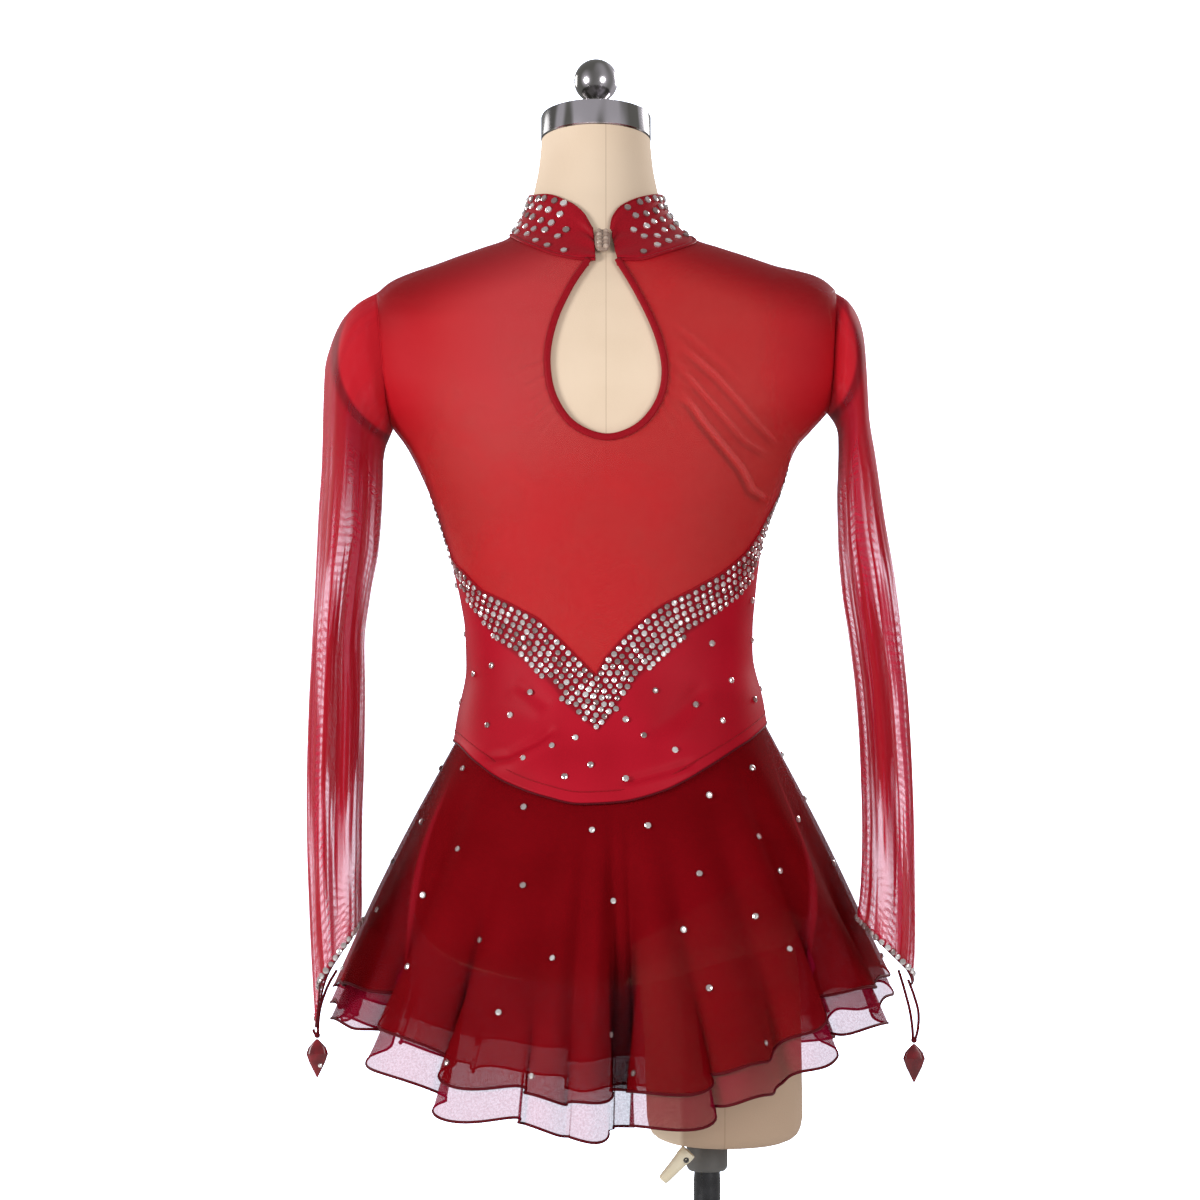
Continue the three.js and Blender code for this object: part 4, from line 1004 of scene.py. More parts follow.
seam_tube("neckline_seam", seam_deg, neckline_z(seam_deg), PANEL_TOP, 0.9, 0.5, TRIM, "trim_red")
waist_off = BODICE_EDGE + CLOTH / 2
seam_tube("waist_seam", seam_deg, seam_z(seam_deg) - 0.6, waist_off, 0.9, 0.8, HEM, "skirt_red")
casing_z = seam_z(seam_deg) + 8.5
seam_tube("waist_casing", seam_deg, casing_z, waist_off + 0.55, 0.45, 0.3, TRIM, "trim_red")

# Dark rolled binding round the keyhole
BINDING_WIDE = 5.8
RIM_PAST = 2.5
rim_out = unit(np.gradient(keyhole_line, axis=0))
rim_out = np.stack((-rim_out[:, 1], rim_out[:, 0]), -1)
rim_mid = keyhole_line - rim_out * (BINDING_WIDE / 2 - 0.6)
rim_path, rim_up = on_back(rim_mid[:, 0], rim_mid[:, 1], np.full(len(rim_mid), PANEL_TOP + 0.9))
rim_ends = [rim_path[i] + unit(rim_path[i] - rim_path[j]) * RIM_PAST for i, j in ((0, 1), (-1, -2))]
rim_path = np.vstack((rim_ends[0], rim_path, rim_ends[1]))
rim_up = np.vstack((rim_up[0], rim_up, rim_up[-1]))
rim = tube("keyhole_rim", rim_path, rim_up, BINDING_WIDE / 2, 1.35, sides=12)
finish_piece(rim, TRIM, "trim_red", "keyhole_binding")

# Collar, open at the centre back and gathered towards the clasp
COLLAR_IN, COLLAR_THICK = 1.9, 1.5
GATHER_SPREAD = 13
COLLAR_ENDS = (9.5, 354.5)


def collar_point(deg, v):
    from_end = np.minimum(deg - COLLAR_ENDS[0], COLLAR_ENDS[1] - deg)
    gather = np.exp(-((from_end / GATHER_SPREAD) ** 2))
    puff = gather * (1.4 + 1.1 * np.cos(v * 5 * math.pi))
    z = mix(collar_bottom_z(deg), collar_top_z(deg), v)
    return off_form(deg, z, COLLAR_IN + COLLAR_THICK / 2 + puff)


collar_deg = np.concatenate(
    (np.linspace(9.5, 50, 50), np.linspace(52, 312, 110), np.linspace(314, 354.5, 50))
)
grid_deg, grid_v = np.meshgrid(collar_deg, np.linspace(0, 1, 22))
collar = sheet_mesh("collar_band", collar_point(grid_deg, grid_v))
thicken(collar, 1.2)
finish_piece(collar, COLLAR, "trim_red", "collar")
edge = collar_point(collar_deg, np.full_like(collar_deg, 0.985))
up = form_normal(collar_deg, collar_top_z(collar_deg))
top_edge = tube("collar_top_edge", edge + up * 0.3, up, 0.9, 0.9, sides=8)
foot_z = collar_bottom_z(collar_deg) - 0.5
foot_edge = off_form(collar_deg, foot_z, np.full_like(foot_z, PANEL_TOP + 0.5))
foot_seam = tube("collar_foot_seam", foot_edge, form_normal(collar_deg, foot_z), 1.7, 1.2, sides=8)
collar_edges = [finish_piece(piece, TRIM, "trim_red") for piece in (top_edge, foot_seam)]

# Clasp: an oval plate set with small beads
CLASP_X, CLASP_Z, CLASP_HALF, CLASP_TALL, CLASP_DEEP = 4.6, 1212, 6.6, 12.5, 3.2
clasp_at, clasp_up = on_back(CLASP_X, CLASP_Z, CLOTH_IN + CLASP_DEEP + 1.2)
clasp_lean = math.atan2(clasp_up[2], -clasp_up[1])
clasp_rows = []
for step in range(1, 16):
    a = (step / 16 - 0.5) * math.pi
    clasp_rows.append((math.cos(a) ** 0.45 * CLASP_HALF, math.sin(a) * CLASP_TALL))
clasp = turned("clasp_plate", clasp_rows, 40)
squeeze = Matrix.Diagonal((1, CLASP_DEEP / CLASP_HALF * 0.8, 1, 1))
clasp_turn = Matrix.Rotation(-clasp_lean, 4, "X")
clasp.data.transform(Matrix.Translation(Vector(clasp_at) * MM) @ clasp_turn @ squeeze)
finish_piece(clasp, BEAD, "crystal", "clasp")
BEAD_R, BEAD_STEP = 2.3, 4.5
bead_rows = [(0.9, -1.9), (1.7, -1.6), (BEAD_R, -0.5), (BEAD_R, 0.5), (1.7, 1.6), (0.9, 1.9), (0.6, 1.4)]
beads = []
for side in (-1, 1):
    for step in range(-2, 3):
        at = Vector((side * 2.7, -CLASP_DEEP * 0.7, step * BEAD_STEP)) * MM
        at.rotate(Matrix.Rotation(-clasp_lean, 3, "X"))
        bead_turn = (-clasp_lean, 0.25 * side, 0)
        bead = turned("bead", bead_rows, 16, bead_turn, np.array(clasp_at) + at / MM)
        note(bead, "tint", np.full(len(bead.data.vertices), (step * 3 + side * 5) % 7 / 7))
        beads.append(bead)
finish_piece(joined("clasp_beads", *beads), BEAD, "crystal")

# Skirt: valley angle, dip, push and sway of each fold
FOLDS = np.array(
    [
        (-78, 9, 9, 5), (-57, 16, 10, 9), (-38, 20, 11, 9), (-18, 4, 9, 2), (-9, 7, 6, 3),
        (0.5, 30, -24, 3), (5.5, 32, 13, 9), (20, 6, 11, 3), (37, 6, 11, 4), (54, 18, 10, 9),
        (73, 9, 9, 6), (97, 13, 11, 8), (120, 18, 12, 9),
        (143, 20, 12, 9), (167, 15, 11, 8), (190, 20, 12, 9), (213, 15, 11, 8), (236, 18, 12, 8),
        (259, 10, 9, 6), (282, 9, 9, 5),
    ],
    float,
)
HEM_LINE = [
    (-90, 588, 12), (-66, 600, 28), (-49, 562, 30), (-27, 527, 24), (-11, 519, 23), (-2, 517, 30),
    (12, 527, 25), (30, 543, 24), (42, 566, 26), (60, 592, 30), (90, 600, 13), (120, 566, 20),
    (150, 524, 24), (180, 504, 26), (210, 522, 24), (240, 560, 20), (270, 588, 12),
]
hem_z = flowing(HEM_LINE)
hem_drop = flowing(HEM_LINE, 2)
HEM_MIDDLE = (11, -3)
HEM_HALF = (226, 190)
SKIRT_IN_MID, SKIRT_OUT_MID, SKIRT_TUCK, LAYER_SPREAD = 3.4, 4.7, 2, 2.2
# The folds lean over little up the skirt and further at its hem
SWAY_HIGH, SWAY_HEM = 0.6, 2.0
FLUTTER = 3.0
# A fold's shade starts this deep and is full this much further in
DARK_FROM, DARK_OVER = 8, 18
# Two folds that run askew: angle at the waist and at the hem, and the side that falls away
CRESTS = ((-70, -55, -1), (75, 52, 1))
CREST_WIDE, CREST_HIGH, CREST_FALL = 1.5, 2.6, 8


def backwards(deg):
    return np.where(deg > 270, deg - 360, np.where(deg < -90, deg + 360, deg))


def fold_at(deg):
    a = np.where(deg < FOLDS[0, 0], deg + 360, deg)
    i = np.clip(np.searchsorted(FOLDS[:, 0], a, side="right") - 1, 0, len(FOLDS) - 2)
    here, after = FOLDS[i], FOLDS[i + 1]
    p = (a - here[..., 0]) / (after[..., 0] - here[..., 0])
    dip = mix(here[..., 1], after[..., 1], smooth(p))
    bump = (0.5 - 0.5 * np.cos(2 * math.pi * p)) ** 0.85
    around = -here[..., 3] * np.sin(2 * math.pi * p)
    radial = -dip + (dip + here[..., 2]) * bump
    return radial, around, smooth((-radial - DARK_FROM) / DARK_OVER)


def crests(deg, t):
    """How far the askew folds stand out, and their painted highlight and painted shade"""
    lift, shade = 0 * deg * t, 0 * deg * t
    for top, low, side in CRESTS:
        past = (deg - mix(top, low, t)) * side
        line = np.exp(-((past / CREST_WIDE) ** 2))
        beyond = smooth(past / 2) * (1 - smooth((past - 3) / 9))
        lift = lift + CREST_HIGH * line - CREST_FALL * beyond
        shade = shade + 0.32 * beyond - 0.9 * np.exp(-(((past + 0.6) / 1.0) ** 2))
    return lift, shade


def skirt_point(deg, t):
    deg = backwards(np.asarray(deg, float))
    t = np.asarray(t, float)
    top = off_form(deg, seam_z(deg) + SKIRT_TUCK, np.full_like(deg, SKIRT_OUT_MID))
    x, y = np.sin(np.radians(deg)), -np.cos(np.radians(deg))
    hem = np.stack((HEM_MIDDLE[0] + HEM_HALF[0] * x, HEM_MIDDLE[1] + HEM_HALF[1] * y, hem_z(deg)), -1)
    reach = t + 0.05 * np.sin(math.pi * t)
    radial, around, _ = fold_at(deg)
    radial = radial + crests(deg, t)[0]
    around = around * mix(SWAY_HIGH, SWAY_HEM, smooth((t - 0.5) / 0.5))
    grow = np.maximum(t, 0) ** 1.3
    turn = np.radians(deg)
    near_hem = smooth((t - 0.62) / 0.45) ** 1.4
    flutter = FLUTTER * near_hem
    radial = radial + flutter * np.sin(29 * turn + 1.6 * np.sin(5 * turn)) / np.maximum(grow, 0.1)
    share = np.stack((reach, reach, t), -1)
    p = mix(top, hem, share)
    p[..., 2] += flutter * 0.7 * np.sin(37 * turn + 2 * np.sin(4 * turn))
    p[..., 2] += flutter * 1.2 * np.sin(13 * turn + 1.3 * np.sin(3 * turn) + 1)
    p[..., 0] += (x * radial - y * around) * grow
    p[..., 1] += (y * radial + x * around) * grow
    return p


def skirt_normal(deg, t):
    way_round = skirt_point(deg + 0.6, t) - skirt_point(deg - 0.6, t)
    up = skirt_point(deg, t - 0.01) - skirt_point(deg, t + 0.01)
    return unit(np.cross(way_round, up))


def skirt_sheet(deg, row, longer):
    """A point of the outer or the longer inner layer; row is 1 at its own hem"""
    a = backwards(deg)
    t = row * (1 + hem_drop(a) / (seam_z(a) - hem_z(a))) if longer else row
    inward = (SKIRT_OUT_MID - SKIRT_IN_MID + LAYER_SPREAD * smooth(t * 2)) if longer else 0 * t
    return skirt_point(deg, t) - skirt_normal(deg, t) * np.asarray(inward)[..., None]


SKIRT_DEG = np.linspace(-90, 270, 577)
SKIRT_ROWS = np.linspace(0, 1, 61)
grid_deg, grid_row = np.meshgrid(SKIRT_DEG, SKIRT_ROWS)
for name, longer, material, slot, node in (
    ("skirt_top_layer", False, SKIRT, "skirt_red", "skirt_outer"),
    ("skirt_under_layer", True, LINING, "lining_red", "skirt_inner"),
):
    layer = sheet_mesh(name, skirt_sheet(grid_deg, grid_row, longer), closed=True, flip=True)
    # Painted shade deep in the folds and beside the askew crests, and a painted highlight on the crests,
    # kept for the material.
    depth = fold_at(backwards(grid_deg))[2] * smooth((grid_row - 0.2) / 0.6)
    depth = depth + crests(backwards(grid_deg), grid_row)[1] * smooth((grid_row - 0.03) / 0.3)
    note(layer, "fold", depth[:, :-1])
    thicken(layer, 0.6)
    finish_piece(layer, material, slot, node)
    edge_deg = SKIRT_DEG[:-1]
    edge = skirt_sheet(edge_deg, np.full_like(edge_deg, 1.0), longer)
    hem = tube(f"{name}_hem", edge, skirt_normal(edge_deg, np.ones_like(edge_deg)), 1.2, 0.9, True, 6)
    finish_piece(hem, HEM, slot)

# Sleeves: inner line X and Z, outer line X and Z, half depth, middle Y, fold depth
SLEEVES = {
    "left": {
        "tip": 30,
        "rings": [
            (-178, 1052, -202, 1167, 64, -2, 0), (-180, 1046, -216, 1152.5, 66, -2, 0),
            (-181, 1039, -225, 1132, 67, -3, 0.01), (-181.5, 1030, -230, 1110, 67, -4, 0.02),
            (-181.5, 1016, -231, 1076, 66, -7, 0.03), (-182, 994, -231.5, 1036, 64, -11, 0.04),
            (-184, 960, -234, 985, 60, -18, 0.05), (-191, 920, -236, 930, 56, -28, 0.06),
            (-195.5, 878, -238, 876, 53, -38, 0.07), (-194.5, 830, -239.5, 822, 51, -49, 0.08),
            (-195, 780, -240, 770, 49, -59, 0.09), (-196, 730, -239, 715, 47, -68, 0.1),
            (-196, 688, -237, 664, 45, -75, 0.1), (-195.5, 661, -234.5, 622, 43, -79, 0.09),
            (-195.5, 649, -232, 594, 42, -80, 0.07),
        ],
    },
    "right": {
        "tip": 9,
        "rings": [
            (203, 1066, 211.5, 1169, 64, -2, 0), (205, 1060, 220.5, 1156, 66, -2, 0),
            (206, 1052, 225.5, 1139, 67, -3, 0.01), (206, 1041, 228, 1112, 67, -4, 0.02),
            (205.5, 1026, 230, 1074, 66, -7, 0.03), (204.5, 1003, 236, 1036, 64, -11, 0.04),
            (205, 963, 243, 985, 60, -18, 0.05), (208, 922, 251.5, 932, 56, -28, 0.06),
            (213, 885, 257, 878, 53, -38, 0.07), (218.5, 835, 261, 826, 51, -49, 0.08),
            (221.5, 782, 263, 772, 49, -59, 0.09), (222.5, 732, 264, 716, 47, -68, 0.1),
            (221.5, 690, 264, 668, 45, -75, 0.1), (219, 663, 263.5, 628, 43, -79, 0.09),
            (217, 650, 262, 606, 42, -80, 0.07),
        ],
    },
}
SLEEVE_FOLDS = 5
BLEND_RINGS = 4
SLEEVE_COLUMNS = 120
SLEEVE_ROWS = 130


def armhole_ring(hole, turns):
    """Where the armhole's plane meets the form, and the way out of the form in that plane"""
    middle = (hole["top"] + hole["bottom"]) / 2
    way = hole["along"] * np.cos(turns)[:, None] + np.array([0, -1, 0]) * np.sin(turns)[:, None]
    near, far = np.zeros(len(turns)), np.full(len(turns), 140.0)
    for _ in range(40):
        half = (near + far) / 2
        within = form_level(middle + way * half[:, None]) < 1
        near, far = np.where(within, half, near), np.where(within, far, half)
    p = middle + way * near[:, None]
    slopes = [
        form_level(p + np.eye(3)[axis] * 0.4) - form_level(p - np.eye(3)[axis] * 0.4) for axis in range(3)
    ]
    n = unit(np.stack(slopes, -1))
    n = unit(n - (n @ hole["out"])[:, None] * hole["out"])
    return p + hole["out"] * SEAM_GAP, n


def lifted_ring(hole, turns, off):
    """The armhole's ring at the height of the cloth that bridges to the sleeve"""
    ring, normal = armhole_ring(hole, turns)
    return ring + normal * (off + RING_LIFT * bridge(ring))[:, None], normal


def sleeve_grid(side, turns, rows):
    """Points of the sleeve's middle surface: rows go from 0 at the armhole to 1 at the cuff"""
    hole, sleeve = ARMHOLES[side], SLEEVES[side]
    start = lifted_ring(hole, turns, PANEL_OFF)[0]
    ends = lifted_ring(hole, np.array([0, math.pi, math.pi / 2, math.pi * 1.5]), PANEL_OFF)[0]
    start_mid = (ends[0] + ends[1]) / 2
    start_long = np.linalg.norm(ends[0] - ends[1]) / 2
    start_deep = (ends[3][1] - ends[2][1]) / 2
    u0 = (start - start_mid) @ hole["along"] / start_long
    v0 = (start[:, 1] - start_mid[1]) / start_deep
    first = (ends[1][0], ends[1][2], ends[0][0], ends[0][2], start_deep, start_mid[1], 0)
    table = np.array([first, *sleeve["rings"]], float)
    count = len(table) - 1
    lines = [flowing([(k, row[c]) for k, row in enumerate(table)]) for c in range(7)]
    k = (np.asarray(rows) * count)[:, None]
    in_x, in_z, out_x, out_z, deep, middle, fold = [line(k) for line in lines]
    w = smooth(k / BLEND_RINGS)
    folds = 1 + fold * np.cos(SLEEVE_FOLDS * turns + 0.9 * hole["sign"] + 0.12 * k)
    u = mix(u0, np.cos(turns), w) * folds
    v = mix(v0, -np.sin(turns), w) * folds
    x = (in_x + out_x) / 2 + (out_x - in_x) / 2 * u
    z = (in_z + out_z) / 2 + (out_z - in_z) / 2 * u
    y = middle + deep * v
    away = np.minimum(turns % (2 * math.pi), 2 * math.pi - turns % (2 * math.pi))
    ending = np.interp(k, [count - 2, count - 1, count], [0, 0.35, 1])
    z = z - sleeve["tip"] * ending * np.exp(-((away / 0.5) ** 2))
    return np.stack((x, y, z), -1)


sleeve_turns = np.linspace(0, 2 * math.pi, SLEEVE_COLUMNS + 1)
for side in ("left", "right"):
    points = sleeve_grid(side, sleeve_turns, np.linspace(0, 1, SLEEVE_ROWS))
    sleeve = sheet_mesh(f"mesh_sleeve_{side}", points, closed=True, flip=side == "right")
    edit(sleeve, lambda bm: bmesh.ops.recalc_face_normals(bm, faces=bm.faces))
    thicken(sleeve)
    finish_piece(sleeve, SLEEVE, "sleeve_red", f"sleeve_{side}")

# Brief: closed below the hips, open at each leg and round the thigh
BRIEF_OFF, HIP_Z, LOW_Z = 2.1, 740, 592
brief_deg = np.linspace(-90, 270, 181)
low_ring = form_point(brief_deg, LOW_Z)
low_ring[:, 2] -= BRIEF_OFF
low_middle = np.array([SECTIONS[0][1], 0, LOW_Z - BRIEF_OFF])
brief_rows = [low_middle + (low_ring - low_middle) * share for share in (0.04, 0.3, 0.6, 1)]
brief_top = seam_z(brief_deg) + SKIRT_TUCK
upper = [mix(HIP_Z, brief_top, share) for share in np.linspace(0.2, 1, 5)]
for z in (*np.linspace(LOW_Z + 3, HIP_Z, 34), *upper):
    brief_rows.append(off_form(brief_deg, z, np.full_like(brief_deg, BRIEF_OFF)))
brief = sheet_mesh("brief_cloth", np.array(brief_rows), closed=True)
thicken(brief, 0.8)


# Leg openings, in metres: a leaning cylinder hung from a point at the side
LEG_R, LEG_LONG, LEG_DOWN, LEG_OUT, LEG_Z = 0.084, 0.26, 0.068, 0.092, 0.606
LEG_LEAN = math.radians(30)
LEG_DEEP = {-1: 0.68, 1: 1.7}


def leg_cutter(sign):
    bpy.ops.object.select_all(action="DESELECT")
    bpy.ops.mesh.primitive_cylinder_add(vertices=72, radius=LEG_R, depth=LEG_LONG)
    cutter = bpy.context.object
    cutter.scale = (1, LEG_DEEP[sign], 1)
    cutter.location = (0, 0, -LEG_DOWN)
    bpy.ops.object.transform_apply(location=True, rotation=True, scale=True)
    cutter.rotation_euler = (0, -sign * LEG_LEAN, 0)
    cutter.location = (SECTIONS[0][1] * MM + sign * LEG_OUT, 0, LEG_Z)
    bpy.ops.object.transform_apply(location=True, rotation=True, scale=True)
    return cutter


for cutter in (leg_cutter(-1), leg_cutter(1), thigh_solid("thigh_cutter", 2, 0.4)):
    apply(brief, "BOOLEAN", operation="DIFFERENCE", solver="EXACT", object=cutter)
    bpy.data.objects.remove(cutter)
brief.data.shade_smooth()
finish_piece(brief, BRIEF, "brief_red", "brief")

# Finger loops and their leaf-shaped ends
LOOP_Y = -80
LOOPS = {
    "left": [
        [(-215.1, 610), (-222.1, 598), (-228.6, 580), (-230.6, 566), (-230.9, 556)],
        [(-234.6, 561), (-234.3, 559.5), (-233.7, 558), (-232.9, 557), (-232, 556)],
    ],
    "right": [
        [(249.4, 610), (253.4, 597), (258.9, 576), (260.9, 562), (261.5, 552)],
        [(257.4, 602), (261.9, 590), (265.9, 575), (265.3, 560), (263.1, 552)],
    ],
}
LEAF_LONG, LEAF_HALF, LEAF_DEEP, KNOT_R = 33, 9.6, 1.7, 2.6
LEAF_ROWS = [(0.97, 0.06), (0.82, 0.33), (0.6, 0.72), (0.38, 1), (0.22, 0.8), (0.1, 0.42), (0.01, 0.1)]
knot_rows = [(1, -KNOT_R + 0.2), (2.1, -1.5), (KNOT_R, 0), (2.1, 1.5), (1, KNOT_R - 0.2)]
for side, strands in LOOPS.items():
    parts = []
    for count, strand in enumerate(strands):
        line = through(strand, 28)
        path = np.stack((line[:, 0], np.full(28, LOOP_Y), line[:, 1]), -1)
        parts.append(tube(f"strand_{side}_{count}", path, np.array([0, -1.0, 0]), 1.2, 0.75, sides=10))
    end_x = (strands[0][-1][0] + strands[1][-1][0]) / 2
    end_z = strands[0][-1][1]
    parts.append(turned(f"knot_{side}", knot_rows, 24, place=(end_x, LOOP_Y, end_z)))
    loop = joined(f"loop_cord_{side}", *parts)
    finish_piece(loop, HEM, "trim_red", f"finger_loop_{side}")
    leaf_rows = [(wide * LEAF_HALF, -share * LEAF_LONG) for share, wide in LEAF_ROWS]
    leaf = turned(f"leaf_{side}", leaf_rows, 10)
    flat = Matrix.Diagonal((1, LEAF_DEEP / LEAF_HALF, 1, 1))
    leaf_at = Vector((end_x, LOOP_Y, end_z - KNOT_R - SEAM_GAP)) * MM
    leaf.data.transform(Matrix.Translation(leaf_at) @ flat)
    finish_piece(leaf, LEAF_CLOTH, "trim_red", f"loop_leaf_{side}")

# Rhinestones


def stone_shape():
    """One flat-backed stone, 1 across its half width"""
    bpy.ops.object.select_all(action="DESELECT")
    bpy.ops.mesh.primitive_cylinder_add(vertices=8, radius=1, depth=0.5, location=(0, 0, 0.25))
    stone = bpy.context.object
    bpy.ops.object.mode_set(mode="EDIT")
    bpy.ops.mesh.select_mode(type="FACE")
    bpy.ops.mesh.select_all(action="DESELECT")
    bpy.ops.object.mode_set(mode="OBJECT")
    for face in stone.data.polygons:
        face.select = face.normal.z > 0.9
    bpy.ops.object.mode_set(mode="EDIT")
    bpy.ops.mesh.inset(thickness=0.2)
    bpy.ops.transform.translate(value=(0, 0, 0.12))
    bpy.ops.mesh.inset(thickness=0.3)
    bpy.ops.transform.translate(value=(0, 0, 0.14))
    bpy.ops.object.mode_set(mode="OBJECT")
    bpy.ops.object.transform_apply(location=True, rotation=False, scale=False)
    points = np.array([v.co for v in stone.data.vertices])
    faces = [list(face.vertices) for face in stone.data.polygons]
    bpy.data.objects.remove(stone)
    return points, faces


STONE_POINTS, STONE_FACES = stone_shape()
chance = np.random.default_rng(7)


def stones(name, places, normals, radius, *nodes):
    """One piece that holds a stone at each place"""
    places, normals = np.asarray(places, float), unit(np.asarray(normals, float))
    count = len(places)
    spin = chance.uniform(0, math.pi / 4, count)
    tilt = chance.normal(0, 0.07, (count, 3))
    up = unit(normals + tilt)
    helper = np.where(np.abs(up[:, 2:3]) > 0.9, [[1.0, 0, 0]], [[0, 0, 1.0]])
    right = unit(np.cross(helper, up))
    ahead = np.cross(up, right)
    size = radius * chance.uniform(0.92, 1.08, count)
    c, s = np.cos(spin)[:, None], np.sin(spin)[:, None]
    across, along = right * c + ahead * s, ahead * c - right * s
    local = STONE_POINTS[None] * size[:, None, None]
    world = (
        places[:, None]
        + across[:, None] * local[..., :1]
        + along[:, None] * local[..., 1:2]
        + up[:, None] * local[..., 2:]
    )
    per = len(STONE_POINTS)
    faces = [[v + per * i for v in face] for i in range(count) for face in STONE_FACES]
    piece = mesh_piece(name, world, faces)
    note(piece, "tint", np.repeat(chance.uniform(0, 1, count), per))
    return finish_piece(piece, CRYSTAL, "crystal", *nodes)


STONE_R, BAND_STONE_R, POINT_STONE_R, LEAF_STONE_R, COLLAR_STONE_R = 2.6, 2.35, 1.5, 1.6, 3.0
STONE_SEAT = 0.1

# The band: rows of stones that follow the neckline, one under the other
band_deg = np.linspace(-90, 270, 1441)
band_way_points = form_point(band_deg, np.full_like(band_deg, 885.0))
band_way = way_along(band_way_points)


BAND_PITCH, BAND_ROW_GAP, BAND_ROWS = 6.5, 5.9, 9


def band_rows():
    """Angle and height of each stone of the band"""
    placed = []
    edge = np.stack((band_way, neckline_z(band_deg)), -1)
    for row in range(BAND_ROWS):
        slope = unit(np.gradient(edge, axis=0))
        down = np.stack((slope[:, 1], -slope[:, 0]), -1)
        line = edge + down * (3.2 + row * BAND_ROW_GAP)
        keep = np.ones(len(line), bool)
        for i in range(len(line)):
            keep[i] = np.hypot(*(edge - line[i]).T).min() > 3.1 + row * BAND_ROW_GAP
        line = line[keep]
        way = way_along(line)
        at = np.arange(BAND_PITCH / 2 * (row % 2), way[-1], BAND_PITCH)
        x, z = points_at(at, way, line).T
        deg = np.interp(x, band_way, band_deg)
        inside_band = z > band_low_z(deg) + 2.2
        placed += list(zip(deg[inside_band], z[inside_band]))
    return np.array(placed)


band = band_rows()
band = band + chance.normal(0, 0.25, band.shape) * [0.3, 1]
band_places = off_form(band[:, 0], band[:, 1], PANEL_TOP - 0.15 + STONE_SEAT)
stones("band_stones", band_places, form_normal(band[:, 0], band[:, 1]), BAND_STONE_R)


def quincunx(across, down, wander):
    """Evenly scattered pairs, every second row set half a step along"""
    pairs = []
    for j, b in enumerate(np.arange(down / 2, 1, down)):
        for a in np.arange(across * (0.25 + 0.5 * (j % 2)), 1, across):
            pairs.append((a + chance.normal(0, wander * across), b + chance.normal(0, wander * down)))
    return np.array(pairs)


# Single stones on the bodice and the skirt
spots = quincunx(1 / 16, 0.34, 0.12)
spot_deg = -90 + spots[:, 0] * 360
spot_low, spot_high = seam_z(spot_deg) + 12, band_low_z(spot_deg) - 10
spot_z = mix(spot_low, spot_high, np.clip(spots[:, 1], 0.05, 0.95))
spot_off = bodice_lift(spot_deg, spot_z) + 0.35 + STONE_SEAT
stones("bodice_stones", off_form(spot_deg, spot_z, spot_off), form_normal(spot_deg, spot_z), STONE_R)
spots = quincunx(1 / 15, 0.21, 0.13)
spot_deg, spot_t = -90 + spots[:, 0] * 360, np.clip(spots[:, 1], 0.06, 0.94)
spot_normal = skirt_normal(spot_deg, spot_t)
stones("skirt_stones", skirt_point(spot_deg, spot_t) + spot_normal * 0.4, spot_normal, STONE_R)

# Cuffs: a rolled edge, and stones along it but for the point over the hand.
# The seam of each armhole is made beside them.
CUFF_BARE = 0.55
CUFF_STONES_FROM, CUFF_STONES_STEP = 3.0, 6.2
for side in ("left", "right"):
    grid = sleeve_grid(side, sleeve_turns, np.linspace(0, 1, SLEEVE_ROWS))
    outward = unit(np.cross(grid[-1] - grid[-3], np.roll(grid[-1], -1, 0) - np.roll(grid[-1], 1, 0)))
    middle = grid[-1].mean(axis=0)
    outward *= np.sign(np.sum(outward * (grid[-1] - middle), axis=1))[:, None]
    rim = tube(f"cuff_edge_{side}", grid[-1][:-1], outward[:-1], 0.9, 0.9, closed=True, sides=6)
    finish_piece(rim, HEM, "sleeve_red")
    way = way_along(grid[-2])
    at = np.arange(CUFF_STONES_FROM, way[-1], CUFF_STONES_STEP)
    turns = np.interp(at, way, sleeve_turns)
    keep = (turns > CUFF_BARE) & (turns < 2 * math.pi - CUFF_BARE)
    spots = [points_at(at[keep], way, row) for row in (grid[-2], outward)]
    stones(f"cuff_stones_{side}", spots[0] + unit(spots[1]) * 0.5, spots[1], STONE_R)
    seam_at, ring_up = lifted_ring(ARMHOLES[side], sleeve_turns[:-1], PANEL_TOP)
    seam = tube(f"armhole_seam_{side}", seam_at, ring_up, 0.6, 0.4, True, 6)
    finish_piece(seam, ARMHOLE, "sleeve_red")

# Small stones down the left cuff's point, and one on its leaf
grid = sleeve_grid("left", sleeve_turns, np.linspace(0, 1, SLEEVE_ROWS))
at = np.linspace(2 * math.pi - CUFF_BARE, 2 * math.pi - 0.08, 9)
edge = points_at(at, sleeve_turns, grid[-2])
point_up = np.tile([-0.35, -1.0, 0], (len(at), 1))
stones("cuff_point_stones_left", edge + [0, -0.7, 0], point_up, POINT_STONE_R)
LEAF_STONE_X, LEAF_STONE_DOWN = -229, 22
leaf_stone_z = 556 - KNOT_R - SEAM_GAP - LEAF_STONE_DOWN
leaf_stone_at = [LEAF_STONE_X, LOOP_Y - LEAF_DEEP * 0.7, leaf_stone_z]
stones("leaf_stone", [leaf_stone_at], [[0.1, -1, -0.1]], LEAF_STONE_R)

# Collar stones: bare where the cloth gathers
COLLAR_FROM, COLLAR_TO, COLLAR_STEP = 28, 336, 10.5
collar_spots = []
for row, v in enumerate(np.linspace(0.1, 0.9, 5)):
    for deg in np.arange(COLLAR_FROM + 5 * (row % 2), COLLAR_TO, COLLAR_STEP):
        collar_spots.append((deg + chance.normal(0, 0.8), v + chance.normal(0, 0.02)))
collar_spots = np.array(collar_spots)


def surface_normal(point, a, b, da, db):
    """Normal of a surface given as a function of two values"""
    one = point(a + da, b) - point(a - da, b)
    two = point(a, b + db) - point(a, b - db)
    return unit(np.cross(one, two))


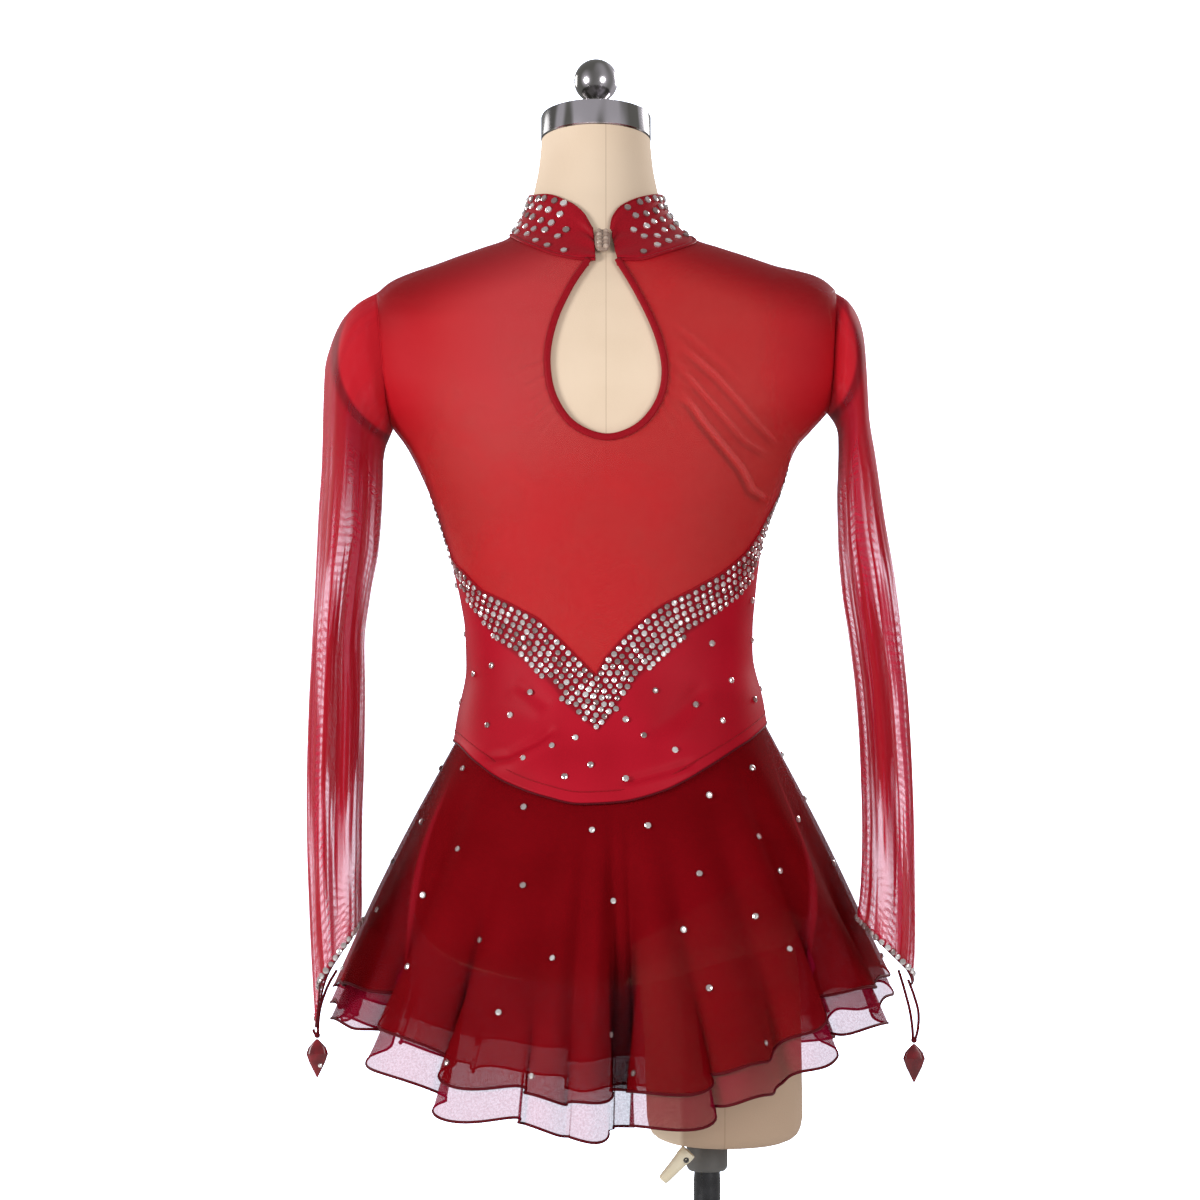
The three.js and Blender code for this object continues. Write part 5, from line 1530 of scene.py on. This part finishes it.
collar_up = surface_normal(collar_point, collar_spots[:, 0], collar_spots[:, 1], 0.5, 0.02)
collar_at = collar_point(collar_spots[:, 0], collar_spots[:, 1]) + collar_up * 0.65
stones("collar_stones", collar_at, collar_up, COLLAR_STONE_R)

# Floor, light and sky, in metres. The backdrop is brighter to the camera than to the part.
FLOOR_R, FLOOR_GAP = 2.1, 0.0005
SKY_LIGHT, BACKDROP = 0.4, 3.0
bpy.ops.object.select_all(action="DESELECT")
bpy.ops.mesh.primitive_circle_add(
    vertices=96, radius=FLOOR_R, fill_type="NGON", location=(0, 0, -FLOOR_GAP)
)
floor = bpy.context.object
floor.name = "floor"
floor_finish = Finish("floor_white", Roughness=0.9)
floor.data.materials.append(floor_finish.set(Base_Color=colour(244, 243, 241)))

world = bpy.data.worlds.new("studio")
bpy.context.scene.world = world
world.use_nodes = True
sky = world.node_tree
ground_light = sky.nodes["Background"]
ground_light.inputs["Color"].default_value = (1, 1, 1, 1)
ground_light.inputs["Strength"].default_value = SKY_LIGHT
seen = sky.nodes.new("ShaderNodeBackground")
seen.inputs["Color"].default_value = (0.94, 1, 1.15, 1)
seen.inputs["Strength"].default_value = BACKDROP
ray = sky.nodes.new("ShaderNodeLightPath")
either = sky.nodes.new("ShaderNodeMixShader")
sky.links.new(ray.outputs["Is Camera Ray"], either.inputs[0])
sky.links.new(ground_light.outputs[0], either.inputs[1])
sky.links.new(seen.outputs[0], either.inputs[2])
sky.links.new(either.outputs[0], sky.nodes["World Output"].inputs["Surface"])


def area_light(name, place, target, size, watts, gloss=1.0):
    data = bpy.data.lights.new(name, "AREA")
    data.specular_factor = gloss
    data.shape = "DISK"
    data.size, data.energy = size, watts
    lamp = bpy.data.objects.new(name, data)
    lamp.location = place
    lamp.rotation_euler = (Vector(target) - Vector(place)).to_track_quat("-Z", "Y").to_euler()
    bpy.context.collection.objects.link(lamp)


area_light("key", (-2.2, -1.7, 1.35), (0, 0, 0.9), 1.0, 50)
area_light("fill", (1.6, -2.2, 1.4), (0, 0, 0.9), 1.2, 26)
area_light("rim", (1.5, 1.7, 1.8), (0, 0, 0.95), 1.0, 22, 0.02)
area_light("rim_left", (-1.7, 1.5, 1.6), (0, 0, 0.95), 1.0, 16, 0.02)

scene = bpy.context.scene
scene.view_settings.view_transform = "Standard"
scene.cycles.transparent_max_bounces = 64
